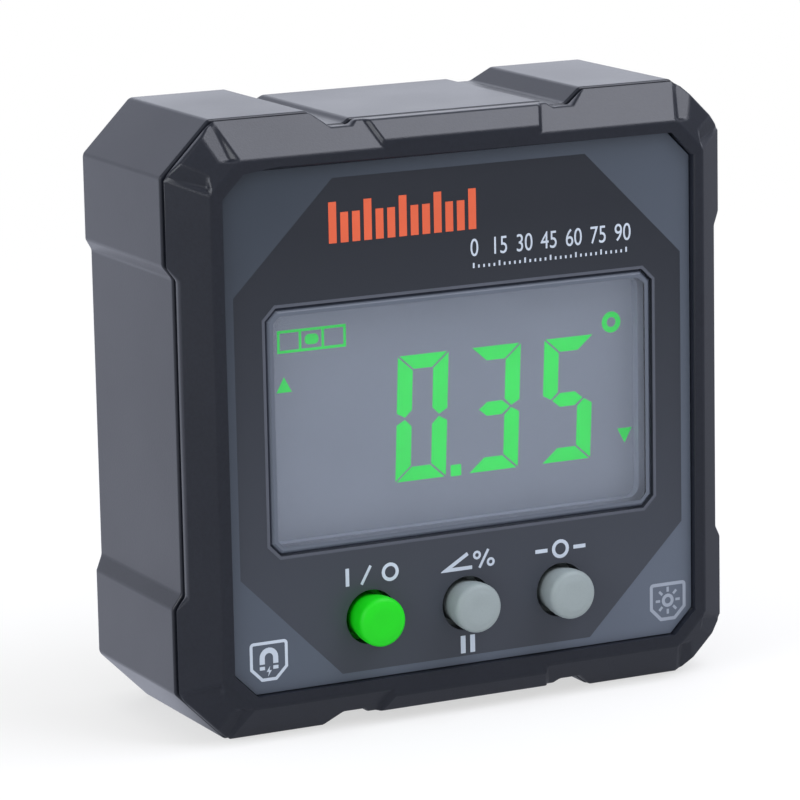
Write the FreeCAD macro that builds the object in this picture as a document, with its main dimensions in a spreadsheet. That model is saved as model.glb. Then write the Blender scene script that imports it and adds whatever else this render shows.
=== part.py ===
import FreeCAD, Part
import math
import os

import Sketcher

# Digital inclinometer: a square instrument that stands on magnetic bumpers.
# X points right, the face looks along -Y and Z points up. The origin is at the
# middle of the base, half-way between the button faces and the back.

Vector = FreeCAD.Vector
ROOT_TWO = math.sqrt(2)

# alias, value in millimetres, meaning
SIZES = (
    ("field_height", 13.3, "face panel above and below the window"),
    ("bay_side_gap", 1.95, "battery bay inside the side wall"),
    ("component_space", 2.85, "between the board and the battery bay"),
    ("corner_cut", 5.1, "leg of the cut corners of the outline"),
    ("side_bumper", 13.5, "length of a side bumper from its corner"),
    ("side_recess", 1.0, "how far the sides are sunk between bumpers"),
    ("side_slope", 1.25, "run of the slope into a side recess"),
    ("end_gap_half", 14.7, "from the middle to a top or bottom bumper"),
    ("end_recess", 1.45, "how far the top and bottom are sunk"),
    ("end_slope", 1.7, "run of the slope into a top recess"),
    ("pad_half", 10.3, "half width of the middle pads"),
    ("pad_drop", 1.0, "middle pad below the bumpers"),
    ("pad_slope", 0.55, "run of the slope up to a middle pad"),
    ("bezel_depth", 3.1, "from the rim to the parting line"),
    ("parting_gap", 0.6, "shadow gap between the shells"),
    ("bevel_inset", 3.6, "bevel of the bezel, seen from the front"),
    ("rim_corner_cut", 3.0, "cut corners of the rim's outer edge"),
    ("facet_depth", 2.2, "depth of the flatter corner facets"),
    ("notch_depth", 0.8, "relief notch beside a corner facet, at the rim"),
    ("notch_wall", 0.6, "width of the notch's steep wall at the rim"),
    ("notch_reach", 3.0, "how far a notch runs past its steep wall"),
    ("rim_width", 1.1, "flat rim around the face panel"),
    ("panel_corner_cut", 2.4, "cut corners of the face panel's seat"),
    ("panel_recess", 0.75, "face panel behind the rim"),
    ("panel_thickness", 0.5, "printed face panel"),
    ("panel_clearance", 0.1, "face panel inside the rim"),
    ("strip_half", 9.2, "half width of the grip strip, at its top edge"),
    ("strip_foot_half", 8.4, "half width of the grip strip, at its foot"),
    ("strip_setback", 1.6, "grip strip's top edge behind the rim"),
    ("strip_rise", 0.75, "grip strip's foot above the bevel"),
    ("rear_bevel", 2.7, "bevel round the back"),
    ("side_wall", 2.6, "side wall at a bumper"),
    ("end_wall", 3.4, "top and bottom wall at a bumper"),
    ("back_wall", 2.4, "wall of the back"),
    ("cavity_corner_cut", 1.8, "cut corners of the cavity"),
    ("lip_clearance", 0.15, "bezel's lip inside the rear shell"),
    ("lip_thickness", 1.2, "bezel's lip"),
    ("lip_length", 2.8, "bezel's lip behind the bezel"),
    ("window_width", 41.9, "display window"),
    ("window_height", 24.0, "display window"),
    ("window_corner_cut", 1.15, "cut corners of the display window"),
    ("window_thickness", 1.5, "clear lens"),
    ("window_chamfer", 0.4, "bevelled rim of the lens"),
    ("window_clearance", 0.1, "lens in its opening"),
    ("window_ledge", 0.8, "ledge that carries the lens"),
    ("button_pitch", 10.4, "between button centres"),
    ("button_drop", 0.5, "button flanges below the display frame"),
    ("button_radius", 2.45, "button cap"),
    ("button_height", 2.9, "button face in front of the panel"),
    ("button_round", 0.55, "rounding of the button face"),
    ("button_travel", 0.5, "travel of a button"),
    ("button_clearance", 0.25, "cap in the bezel's hole"),
    ("button_sight_gap", 0.25, "cap in the panel's hole"),
    ("flange_radius", 3.5, "button flange"),
    ("flange_thickness", 0.8, "button flange"),
    ("flange_clearance", 0.1, "flange behind the bezel"),
    ("polariser_thickness", 0.2, "each polariser"),
    ("glass_thickness", 0.7, "each glass of the display"),
    ("glass_side_margin", 0.75, "display glass beyond the window"),
    ("glass_end_margin", 1.2, "display glass above and below the window"),
    ("glass_drop", 0.6, "display glass below the middle of the window"),
    ("glass_ledge", 2.0, "contact ledge of the front glass"),
    ("guide_thickness", 1.6, "light guide"),
    ("reflector_thickness", 0.15, "reflector behind the light guide"),
    ("stack_clearance", 0.1, "display stack in front and behind"),
    ("stack_margin", 0.5, "display stack inside the glass's outline"),
    ("frame_clearance", 0.15, "glass in its frame"),
    ("frame_wall", 1.2, "wall of the display frame"),
    ("connector_width", 36.0, "elastomer connector"),
    ("connector_thickness", 1.4, "elastomer connector"),
    ("led_length", 3.5, "backlight lamp"),
    ("led_width", 1.0, "backlight lamp"),
    ("led_offset", 7.0, "backlight lamps from the middle"),
    ("board_clearance", 0.65, "circuit board inside the lip and beside the posts"),
    ("board_thickness", 1.2, "circuit board"),
    ("board_post_radius", 2.1, "post under the board"),
    ("board_post_side_gap", 2.0, "posts beside the button flanges"),
    ("board_post_end_gap", 0.95, "posts above and below the display frame"),
    ("board_screw_radius", 0.8, "board screw"),
    ("board_screw_length", 4.2, "board screw under its head"),
    ("board_head_radius", 1.6, "board screw"),
    ("board_head_height", 0.9, "board screw"),
    ("screw_clearance", 0.05, "screw in its pilot hole"),
    ("screw_passage", 0.25, "screw in the piece that it clamps"),
    ("switch_width", 6.0, "tact switch"),
    ("switch_height", 1.9, "tact switch"),
    ("plunger_width", 2.4, "square tact switch plunger"),
    ("plunger_clearance", 0.1, "plunger in its switch"),
    ("plunger_seat", 0.3, "plunger inside the switch at rest"),
    ("sensor_width", 4.0, "tilt sensor"),
    ("sensor_height", 1.1, "tilt sensor"),
    ("sensor_level", 9.0, "tilt sensor above the middle"),
    ("chip_width", 7.5, "controller chip"),
    ("chip_height", 1.4, "controller chip"),
    ("chip_offset", 12.0, "controller chip from the middle"),
    ("chip_lead_pitch", 1.0, "controller leads"),
    ("chip_lead_width", 0.4, "controller leads"),
    ("chip_lead_reach", 1.0, "controller leads"),
    ("crystal_length", 8.0, "timing crystal"),
    ("crystal_radius", 1.2, "timing crystal"),
    ("crystal_offset", 14.5, "timing crystal from the middle"),
    ("capacitor_length", 2.0, "board capacitor"),
    ("capacitor_width", 1.25, "board capacitor"),
    ("capacitor_pitch", 3.5, "between capacitors"),
    ("capacitor_level", 15.0, "row of capacitors below the middle"),
    ("cell_radius", 5.25, "AAA cell"),
    ("cell_length", 44.5, "AAA cell over its terminal"),
    ("cell_terminal_radius", 1.9, "raised terminal"),
    ("cell_terminal_length", 1.0, "raised terminal"),
    ("cell_spacing", 0.6, "between the two cells"),
    ("cell_clearance", 0.3, "cell in the battery bay"),
    ("contact_thickness", 0.4, "contact plate"),
    ("contact_width", 7.0, "contact plate"),
    ("contact_bump", 0.4, "dimple that meets a raised terminal"),
    ("contact_gap", 0.1, "cell from its contacts"),
    ("leaf_width", 4.0, "leaf spring of a contact"),
    ("leaf_reach", 2.6, "leaf spring from its plate to the cell"),
    ("tail_width", 2.0, "solder tail of a contact"),
    ("bay_wall", 1.2, "walls of the battery bay"),
    ("door_thickness", 1.8, "battery door"),
    ("door_gap", 0.1, "battery door in its opening"),
    ("door_tongue", 0.8, "tongues of the door, thick"),
    ("door_tongue_reach", 0.9, "tongues of the door, wide"),
    ("door_frame", 0.6, "opening beyond the battery bay"),
    ("grip_groove", 0.8, "width of a finger groove"),
    ("grip_depth", 0.4, "depth of a finger groove"),
    ("grip_pitch", 1.8, "between finger grooves"),
    ("grip_length", 12.0, "length of a finger groove"),
    ("grip_setback", 5.5, "first groove from the end of the door"),
    ("case_screw_inset", 7.4, "case screws from the outline, each way"),
    ("case_screw_radius", 1.0, "case screw"),
    ("case_screw_length", 7.0, "case screw under its head"),
    ("case_head_radius", 1.9, "case screw"),
    ("case_head_height", 1.5, "case screw"),
    ("case_head_gap", 0.3, "case screw head in its well"),
    ("pilot_spare", 0.5, "pilot hole beyond the screw's point"),
    ("case_post_radius", 3.0, "post of the bezel for a case screw"),
    ("case_post_length", 5.9, "post of the bezel for a case screw"),
    ("case_boss_radius", 3.2, "boss of the rear shell for a case screw"),
    ("case_boss_web", 3.0, "what a case screw clamps"),
    ("boss_rib", 1.0, "ribs from a boss to the walls"),
    ("magnet_radius", 3.5, "base magnet"),
    ("magnet_thickness", 2.5, "base magnet"),
    ("magnet_sink", 0.1, "base magnet above the base"),
    ("magnet_gap", 0.1, "base magnet in its pocket"),
    ("magnet_spacing", 2.0, "between magnets, front to back"),
)


class Size:
    """A length that knows its value and the sheet formula it comes from."""

    def __init__(self, value, formula):
        self.value = value
        self.formula = formula

    def __add__(self, other):
        return combine(self, "+", other)

    def __radd__(self, other):
        return combine(other, "+", self)

    def __sub__(self, other):
        return combine(self, "-", other)

    def __rsub__(self, other):
        return combine(other, "-", self)

    def __mul__(self, other):
        return combine(self, "*", other)

    def __rmul__(self, other):
        return combine(other, "*", self)

    def __truediv__(self, other):
        return combine(self, "/", other)

    def __neg__(self):
        return combine(0, "-", self)


def as_size(number):
    """Wrap a plain number, and leave a Size as it is."""
    if isinstance(number, Size):
        return number
    return Size(float(number), repr(float(number)))


def combine(left, sign, right):
    """Work out a sum, difference, product or quotient and its formula."""
    left = as_size(left)
    right = as_size(right)
    results = {
        "+": left.value + right.value,
        "-": left.value - right.value,
        "*": left.value * right.value,
        "/": left.value / right.value if right.value else 0.0,
    }
    return Size(results[sign], "(%s %s %s)" % (left.formula, sign, right.formula))


class Dimensions:
    """The driving and derived dimensions, each under its alias in the sheet."""

    def __init__(self, document):
        self.sheet = document.addObject("Spreadsheet::Sheet", "Sizes")
        self.rows = 0
        for alias, value, meaning in SIZES:
            self.add(alias, str(value), value, meaning)

    def add(self, alias, content, value, meaning):
        """Write one row of the sheet and keep its size under the alias."""
        self.rows += 1
        self.sheet.set("A%d" % self.rows, content)
        self.sheet.setAlias("A%d" % self.rows, alias)
        self.sheet.set("B%d" % self.rows, "'" + meaning)
        setattr(self, alias, Size(value, "Sizes." + alias))

    def derive(self, alias, size, meaning):
        """Add a size that follows from others."""
        self.add(alias, "=" + size.formula.replace("Sizes.", ""), size.value, meaning)


doc = FreeCAD.newDocument("Inclinometer")
d = Dimensions(doc)


# ---------------------------------------------------------------- derived sizes
def derive_battery_bay():
    """Inside of the battery bay: the two cells, their contacts and clearances."""
    ends = 2 * (d.contact_thickness + d.contact_gap) + d.leaf_reach + d.contact_bump
    d.derive("bay_half_length", (d.cell_length + ends) / 2, "battery bay")
    d.derive("cell_pitch", 2 * d.cell_radius + d.cell_spacing, "between cell axes")
    d.derive("bay_half_height", d.cell_pitch / 2 + d.cell_radius + d.cell_clearance,
             "battery bay")
    d.derive("door_half_height", d.bay_half_height + d.door_frame, "battery door")


def derive_case():
    """Overall sizes: the case is built up around its contents."""
    d.derive("half_width", d.bay_half_length + d.bay_wall + d.bay_side_gap + d.side_wall,
             "half of the case's width")
    d.derive("half_height",
             d.window_height / 2 + d.field_height + d.rim_width + d.bevel_inset,
             "half of the case's height")
    stack = (2 * d.stack_clearance + 2 * d.polariser_thickness + 2 * d.glass_thickness
             + d.guide_thickness + d.reflector_thickness)
    d.derive("stack_depth", stack, "display stack with its clearances")
    bay = d.bay_wall + 2 * (d.cell_radius + d.cell_clearance) + d.door_thickness
    d.derive("case_depth",
             d.bezel_depth + d.stack_depth + d.board_thickness + d.component_space + bay,
             "from the rim of the face to the back")


def derive_levels():
    """Depths of the main layers, from the face to the back."""
    proud = d.button_height - d.panel_recess
    d.derive("rim_y", (proud - d.case_depth) / 2, "rim of the face")
    d.derive("back_y", d.rim_y + d.case_depth, "back of the case")
    d.derive("bezel_back_y", d.rim_y + d.bezel_depth, "front of the parting gap")
    d.derive("shell_front_y", d.bezel_back_y + d.parting_gap, "back of the parting gap")
    d.derive("panel_y", d.rim_y + d.panel_recess, "front of the face panel")
    d.derive("seat_y", d.panel_y + d.panel_thickness, "seat of the face panel")
    d.derive("window_back_y", d.panel_y + d.window_thickness, "seat of the lens")
    d.derive("button_face_y", d.panel_y - d.button_height, "face of a button")
    d.derive("flange_y", d.bezel_back_y + d.flange_clearance, "front of a button flange")
    d.derive("flange_back_y", d.flange_y + d.flange_thickness, "back of a button flange")
    d.derive("board_y", d.bezel_back_y + d.stack_depth, "front of the board")
    d.derive("board_back_y", d.board_y + d.board_thickness, "back of the board")
    d.derive("switch_y", d.board_y - d.switch_height, "front of a switch")
    d.derive("bay_front_y", d.board_back_y + d.component_space, "battery bay's outside")
    d.derive("bay_y", d.bay_front_y + d.bay_wall, "battery bay's floor")
    d.derive("cell_y", d.bay_y + d.cell_clearance + d.cell_radius, "cell axes")
    d.derive("door_y", d.back_y - d.door_thickness, "inside of the battery door")
    d.derive("groove_y", d.door_y - d.door_gap, "inside of the door's groove")
    d.derive("tongue_back_y", d.door_y + d.door_tongue, "outside of the door's tongues")
    d.derive("groove_back_y", d.tongue_back_y + d.door_gap, "outside of the groove")
    d.derive("shell_floor_y", d.back_y - d.back_wall, "inside of the back wall")
    d.derive("case_post_y", d.bezel_back_y + d.case_post_length, "end of a case post")
    d.derive("case_seat_y", d.case_post_y + d.case_boss_web, "seat of a case screw")


def derive_face():
    """Outlines of the rim and panel, and the layout of the display and buttons."""
    d.derive("rim_half_width", d.half_width - d.bevel_inset, "rim, outside")
    d.derive("rim_half_height", d.half_height - d.bevel_inset, "rim, outside")
    d.derive("panel_half_width", d.rim_half_width - d.rim_width, "rim, inside")
    d.derive("panel_half_height", d.rim_half_height - d.rim_width, "rim, inside")
    d.derive("glass_half_width", d.window_width / 2 + d.glass_side_margin, "glass")
    d.derive("glass_half_height", d.window_height / 2 + d.glass_end_margin, "glass")
    d.derive("glass_level", d.half_height - d.glass_drop, "middle of the glass")
    shell = d.frame_clearance + d.frame_wall
    d.derive("frame_half_width", d.glass_half_width + shell, "display frame, outside")
    d.derive("frame_half_height", d.glass_half_height + shell, "display frame, outside")
    d.derive("frame_bottom", d.glass_level - d.frame_half_height, "display frame")
    d.derive("frame_top", d.glass_level + d.frame_half_height, "display frame")
    d.derive("button_level", d.frame_bottom - d.button_drop - d.flange_radius,
             "button centres above the base")


def derive_inside():
    """Lip of the bezel, board and screw places."""
    d.derive("lip_half_width", d.half_width - d.side_wall - d.lip_clearance, "lip")
    d.derive("lip_half_height", d.half_height - d.end_wall - d.lip_clearance, "lip")
    inset = d.lip_thickness + d.board_clearance
    d.derive("board_half_width", d.lip_half_width - inset, "board")
    d.derive("board_half_height", d.lip_half_height - inset, "board")
    d.derive("case_screw_x", d.half_width - d.case_screw_inset, "case screws")
    d.derive("case_screw_z", d.half_height - d.case_screw_inset, "case screws")
    post_corner = d.case_screw_x + d.case_screw_z
    clear = ROOT_TWO * (d.case_post_radius + d.board_clearance)
    d.derive("board_corner_cut",
             d.board_half_width + d.board_half_height + clear - post_corner,
             "board's corners, clear of the case posts")
    d.derive("board_screw_x",
             d.button_pitch + d.flange_radius + d.board_post_side_gap
             + d.board_post_radius, "board screws")
    rise = d.board_post_end_gap + d.board_post_radius
    d.derive("lower_screw_z", d.frame_bottom - rise, "lower board screws")
    d.derive("upper_screw_z", d.frame_top + rise, "upper board screws")


derive_battery_bay()
derive_case()
derive_levels()
derive_face()
derive_inside()
doc.recompute()


# ---------------------------------------------------------------- outlines
def octagon(half_x, half_z, cut):
    """Corners of a rectangle with cut corners, about the middle of the case."""
    quarter = [(half_x, half_z - cut), (half_x - cut, half_z)]
    return four_quarters(quarter)


def rectangle(half_x, half_z, level=d.half_height):
    """Corners of a rectangle about the middle of the case or another level."""
    return span((-half_x, half_x), (level - half_z, level + half_z))


def span(x_range, z_range):
    """Corners of a rectangle between two pairs of limits."""
    low_x, high_x = x_range
    low_z, high_z = z_range
    return [(low_x, low_z), (high_x, low_z), (high_x, high_z), (low_x, high_z)]


def four_quarters(quarter):
    """Mirror the top right quarter of an outline into a closed one."""
    left = [(-x, z) for x, z in reversed(quarter)]
    top = [(x, d.half_height + z) for x, z in quarter + left]
    bottom = [(-x, d.half_height - z) for x, z in quarter + left]
    return top + bottom


def case_outline():
    """Outline of both shells: corner bumpers, sunk sides and middle pads."""
    side_top = d.half_height - d.side_bumper
    side_foot = (d.half_width - d.side_recess, side_top - d.side_slope)
    recess_z = d.half_height - d.end_recess
    quarter = [
        side_foot,
        (d.half_width, side_top),
        (d.half_width, d.half_height - d.corner_cut),
        (d.half_width - d.corner_cut, d.half_height),
        (d.end_gap_half, d.half_height),
        (d.end_gap_half - d.end_slope, recess_z),
        (d.pad_half + d.pad_slope, recess_z),
        (d.pad_half, d.half_height - d.pad_drop),
    ]
    return four_quarters(quarter)


# ---------------------------------------------------------------- features
def bind(item, prop, value):
    """Tie a property of an object to a formula on the sheet."""
    item.setExpression(prop, as_size(value).formula)


def new_body(label):
    body = doc.addObject("PartDesign::Body", label)
    body.Label = label
    return body


def new_sketch(body, role, offset, turn=None, centre=None):
    """Sketch on one of the body's planes, moved out along its normal."""
    sketch = body.newObject("Sketcher::SketchObject", body.Name + "_sketch")
    support = next(item for item in body.Origin.OriginFeatures if item.Role == role)
    sketch.AttachmentSupport = [(support, "")]
    sketch.MapMode = "FlatFace"
    if turn is not None:
        sketch.AttachmentOffset = FreeCAD.Placement(Vector(), turn)
        bind(sketch, "AttachmentOffset.Base.y", centre)
    bind(sketch, "AttachmentOffset.Base.z", offset)
    return sketch


def draw_polygon(sketch, corners):
    """Closed outline whose corners are all placed by the sheet."""
    corners = [(as_size(u), as_size(v)) for u, v in corners]
    first = sketch.GeometryCount
    count = len(corners)
    for index, (u, v) in enumerate(corners):
        next_u, next_v = corners[(index + 1) % count]
        start = Vector(u.value, v.value, 0)
        end = Vector(next_u.value, next_v.value, 0)
        sketch.addGeometry(Part.LineSegment(start, end), False)
    for index in range(count):
        follower = first + (index + 1) % count
        sketch.addConstraint(Sketcher.Constraint("Coincident", first + index, 2, follower, 1))
    for index, (u, v) in enumerate(corners):
        place_point(sketch, first + index, 1, u, v)


def draw_circle(sketch, u, v, radius):
    """Circle whose centre and radius are placed by the sheet."""
    u, v, radius = as_size(u), as_size(v), as_size(radius)
    circle = Part.Circle(Vector(u.value, v.value, 0), Vector(0, 0, 1), radius.value)
    index = sketch.addGeometry(circle, False)
    rule = sketch.addConstraint(Sketcher.Constraint("Radius", index, radius.value))
    bind(sketch, "Constraints[%d]" % rule, radius)
    place_point(sketch, index, 3, u, v)


def place_point(sketch, geometry, point, u, v):
    """Hold one point of a sketch at two sheet formulas from the origin."""
    for kind, value in (("DistanceX", u), ("DistanceY", v)):
        rule = sketch.addConstraint(
            Sketcher.Constraint(kind, -1, 1, geometry, point, value.value))
        bind(sketch, "Constraints[%d]" % rule, value)


def extrude(body, kind, sketch, length, towards_normal):
    """Pad or Pocket of a sketch, along its normal or against it."""
    feature = body.newObject("PartDesign::" + kind, body.Name + "_" + kind.lower())
    feature.Profile = sketch
    bind(feature, "Length", length)
    feature.Reversed = towards_normal if kind == "Pocket" else not towards_normal
    sketch.Visibility = False
    return feature


def slab(body, outlines, front, back, kind="Pad"):
    """Pad or Pocket of front-view outlines between two depths."""
    sketch = new_sketch(body, "XZ_Plane", -as_size(front))
    for outline in outlines:
        draw_polygon(sketch, outline)
    return extrude(body, kind, sketch, as_size(back) - front, False)


def round_slab(body, circles, front, back, kind="Pad"):
    """Pad or Pocket of front-view circles between two depths."""
    sketch = new_sketch(body, "XZ_Plane", -as_size(front))
    for circle in circles:
        draw_circle(sketch, *circle)
    return extrude(body, kind, sketch, as_size(back) - front, False)


def revolve(body, role, offset, profile):
    """Turn a profile all the way round its first edge."""
    sketch = new_sketch(body, role, offset)
    draw_polygon(sketch, profile)
    turned = body.newObject("PartDesign::Revolution", body.Name + "_revolution")
    turned.Profile = sketch
    turned.ReferenceAxis = (sketch, ["Edge1"])
    turned.Angle = 360
    sketch.Visibility = False
    return turned


def through_pocket(body, sketch):
    """Pocket that runs right through the body on both sides of its sketch."""
    pocket = body.newObject("PartDesign::Pocket", body.Name + "_cut")
    pocket.Profile = sketch
    pocket.Type = "ThroughAll"
    pocket.Midplane = True
    return pocket


def edges_at_depth(shape, depth):
    """Names of a shape's edges that lie in one plane of constant depth."""
    names = []
    for index, edge in enumerate(shape.Edges, start=1):
        box = edge.BoundBox
        if abs(box.YMin - depth.value) < 1e-4 and abs(box.YMax - depth.value) < 1e-4:
            names.append("Edge%d" % index)
    return names


def dress(body, kind, base, edges, prop, value):
    """Fillet or Chamfer on named edges of the last feature."""
    feature = body.newObject("PartDesign::" + kind, body.Name + "_" + kind.lower())
    feature.Base = (base, edges)
    bind(feature, prop, value)
    return feature


def mirrored_pair(corners):
    """A sketch outline and its mirror image about the middle of the case."""
    mirror = [(u, 2 * d.half_height - v) for u, v in corners]
    return [corners, mirror]


def bevel_ends(body, near, far, inset):
    """Bevel the top and bottom edges: inset at the near depth, nothing at the far one."""
    beyond = 2 * near - far
    sketch = new_sketch(body, "YZ_Plane", 0)
    top = 2 * d.half_height
    wedge = [(far, top), (near, top - inset), (beyond, top - inset),
             (beyond, top + inset), (far, top + inset)]
    for outline in mirrored_pair(wedge):
        draw_polygon(sketch, outline)
    through_pocket(body, sketch)


def bevel_sides(body, near, far, inset):
    """Bevel the left and right edges in the same way."""
    beyond = 2 * near - far
    sketch = new_sketch(body, "XY_Plane", d.half_height)
    for side in (-1, 1):
        draw_polygon(sketch, [
            (side * d.half_width, far),
            (side * (d.half_width - inset), near),
            (side * (d.half_width - inset), beyond),
            (side * (d.half_width + inset), beyond),
            (side * (d.half_width + inset), far),
        ])
    through_pocket(body, sketch)


def bevel_corners(body, near, far, rim_cut, inset):
    """Slope the four cut corners down to the cut corners of a rim."""
    outer = (d.half_width + d.half_height - d.corner_cut) / ROOT_TWO
    inner = (d.half_width + d.half_height - 2 * inset - rim_cut) / ROOT_TWO
    beyond = 2 * near - far
    for angle in (-45, 45):
        turn = FreeCAD.Rotation(Vector(1, 0, 0), angle)
        sketch = new_sketch(body, "YZ_Plane", 0, turn, d.half_height)
        for side in (-1, 1):
            draw_polygon(sketch, [
                (far, side * outer),
                (near, side * inner),
                (beyond, side * inner),
                (beyond, side * (outer + inset)),
                (far, side * (outer + inset)),
            ])
        through_pocket(body, sketch)


# ---------------------------------------------------------------- simple solids
def block(label, x_range, y_range, z_range):
    """Part::Box between three pairs of limits."""
    box = doc.addObject("Part::Box", label)
    box.Label = label
    sides = (("x", "Length", x_range), ("y", "Width", y_range), ("z", "Height", z_range))
    for axis, prop, (low, high) in sides:
        bind(box, "Placement.Base." + axis, low)
        bind(box, prop, as_size(high) - low)
    return box


def group(label, items):
    """Identical loose pieces that share one node."""
    compound = doc.addObject("Part::Compound", label)
    compound.Label = label
    compound.Links = items
    return compound


def mirror(item, normal, base):
    """Mirror image of an object in a plane through the case."""
    image = doc.addObject("Part::Mirroring", item.Name + "_mirror")
    image.Source = item
    image.Normal = normal
    bind(image, "Base.z", base)
    return image


def screw(label, x, z, seat, radius, length, head_radius, head_height):
    """Pan head screw that points forwards from its seat."""
    body = new_body(label)
    round_slab(body, [(x, z, radius)], seat - length, seat)
    round_slab(body, [(x, z, head_radius)], seat, seat + head_height)
    return body


# ---------------------------------------------------------------- front shell
def notch_cutter(along_x, side, end):
    """Wedge between an edge bevel and a corner facet of the bezel.

    It is worked out with p along the edge and q outward from it, and then
    turned to the top or bottom edge or to a side edge.
    """
    half_p, half_q = (d.half_width, d.half_height) if along_x else (d.half_height, d.half_width)
    rim_p = (half_p - d.bevel_inset - d.rim_corner_cut).value
    rim_q = (half_q - d.bevel_inset).value
    tip_p = (half_p - d.corner_cut).value
    tip_q = half_q.value
    wall = d.notch_wall.value
    reach = d.notch_reach.value
    depth = d.notch_depth.value
    bevel = d.bezel_depth.value
    ahead = -bevel
    slant = wall * (depth - ahead) / depth

    def point(p, y, q):
        x, z = (p, q) if along_x else (q, p)
        return Vector(x * side, d.rim_y.value + y, d.half_height.value + z * end)

    foot = point(rim_p + wall, depth, rim_q)
    foot_far = point(rim_p + wall + reach, depth, rim_q)
    foot_front = point(rim_p + wall - slant, ahead, rim_q)
    foot_front_far = point(rim_p + wall + reach, ahead, rim_q)
    tip = point(tip_p, bevel, tip_q)
    tip_far = point(tip_p + reach, bevel, tip_q)
    rise = wall_shift(rim_p, rim_q, tip_p, tip_q, wall, depth, bevel) * (bevel - ahead)
    tip_front = point(tip_p - rise, ahead, tip_q)
    tip_front_far = point(tip_p + reach, ahead, tip_q)
    loops = (
        (foot, foot_far, foot_front_far, foot_front),
        (tip, tip_far, tip_front_far, tip_front),
        (foot, foot_far, tip_far, tip),
        (foot, foot_front, tip_front, tip),
        (foot_far, foot_front_far, tip_front_far, tip_far),
        (foot_front, foot_front_far, tip_front_far, tip_front),
    )
    faces = [Part.Face(Part.makePolygon(loop + loop[:1])) for loop in loops]
    solid = Part.Solid(Part.Shell(faces))
    solid.fix(1e-6, 1e-6, 1e-6)
    return solid


def wall_shift(rim_p, rim_q, tip_p, tip_q, wall, depth, bevel):
    """Slant of a notch's steep wall at its tip, sideways per unit of depth."""
    start = Vector(rim_p, 0, rim_q)
    foot = Vector(rim_p + wall, depth, rim_q)
    tip = Vector(tip_p, bevel, tip_q)
    normal = (foot - start).cross(tip - start)
    return -normal.y / normal.x


def bezel_notches():
    """The eight relief notches of the bezel, two beside each corner facet."""
    cutters = [notch_cutter(along_x, side, end)
               for along_x in (True, False) for side in (-1, 1) for end in (-1, 1)]
    feature = doc.addObject("Part::Feature", "bezel_notches")
    feature.Shape = Part.makeCompound(cutters)
    return feature


def grip_strip():
    """Raised strip on the top bevel, in front of the middle pad."""
    body = new_body("grip_strip")
    top = 2 * d.half_height - d.pad_drop
    foot = 2 * d.half_height - d.bevel_inset
    sketch = new_sketch(body, "YZ_Plane", 0)
    draw_polygon(sketch, [
        (d.bezel_back_y, top),
        (d.rim_y + d.strip_setback, top),
        (d.rim_y, foot + d.strip_rise),
        (d.rim_y, foot - d.strip_rise),
        (d.bezel_back_y, foot - d.strip_rise),
    ])
    strip = extrude(body, "Pad", sketch, 2 * d.pad_half, True)
    strip.Midplane = True
    trim_strip_ends(body)
    return body


def trim_strip_ends(body):
    """Slope the ends of a grip strip back toward the parting line."""
    lean = d.strip_half - d.strip_foot_half
    sketch = new_sketch(body, "XY_Plane", 2 * d.half_height)
    for side in (-1, 1):
        draw_polygon(sketch, [
            (side * (d.strip_foot_half - lean), d.rim_y - d.strip_setback),
            (side * (d.strip_half + 2 * lean), d.rim_y + 3 * d.strip_setback),
            (side * (d.strip_half + 2 * lean), d.rim_y - d.strip_setback),
        ])
    through_pocket(body, sketch)


def front_shell():
    """Bezel: bevelled rim, seat of the face panel, lip, posts and openings."""
    body = new_body("bezel")
    slab(body, [case_outline()], d.rim_y, d.bezel_back_y)
    bevel_ends(body, d.rim_y, d.bezel_back_y, d.bevel_inset)
    bevel_sides(body, d.rim_y, d.bezel_back_y, d.bevel_inset)
    bevel_corners(body, d.rim_y, d.rim_y + d.facet_depth, d.rim_corner_cut, d.bevel_inset)
    open_face(body)
    add_lip(body)
    add_posts(body)
    return finish_bezel(body)


def open_face(body):
    """Seat of the panel, stepped window opening and button holes."""
    seat = octagon(d.panel_half_width, d.panel_half_height, d.panel_corner_cut)
    slab(body, [seat], d.rim_y, d.seat_y, "Pocket")
    pocket = octagon(d.window_width / 2, d.window_height / 2, d.window_corner_cut)
    slab(body, [pocket], d.seat_y, d.window_back_y, "Pocket")
    opening = rectangle(d.window_width / 2 - d.window_ledge,
                        d.window_height / 2 - d.window_ledge)
    slab(body, [opening], d.window_back_y, d.bezel_back_y, "Pocket")
    radius = d.button_radius + d.button_clearance
    holes = [(x, d.button_level, radius) for x in button_centres()]
    round_slab(body, holes, d.seat_y, d.bezel_back_y, "Pocket")


def button_centres():
    return [-d.button_pitch, as_size(0), as_size(d.button_pitch)]


def add_lip(body):
    """Lip that plugs into the rear shell and closes the parting gap."""
    outer_x = d.half_width - d.side_wall - d.lip_clearance
    outer_z = d.half_height - d.end_wall - d.lip_clearance
    outer = octagon(outer_x, outer_z, d.cavity_corner_cut)
    inner = octagon(outer_x - d.lip_thickness, outer_z - d.lip_thickness,
                    d.cavity_corner_cut)
    slab(body, [outer, inner], d.bezel_back_y, d.bezel_back_y + d.lip_length)


def add_posts(body):
    """Posts for the case screws and for the board, with their pilot holes."""
    round_slab(body, case_circles(d.case_post_radius), d.bezel_back_y, d.case_post_y)
    pilot_depth = d.case_screw_length - d.case_boss_web + d.pilot_spare
    pilots = case_circles(d.case_screw_radius + d.screw_clearance)
    round_slab(body, pilots, d.case_post_y - pilot_depth, d.case_post_y, "Pocket")
    round_slab(body, board_circles(d.board_post_radius), d.bezel_back_y, d.board_y)
    pilots = board_circles(d.board_screw_radius + d.screw_clearance)
    round_slab(body, pilots, d.bezel_back_y, d.board_y, "Pocket")


def case_circles(radius):
    """Circles about the four case screws."""
    return [(side * d.case_screw_x, d.half_height + end * d.case_screw_z, radius)
            for side in (-1, 1) for end in (-1, 1)]


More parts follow.
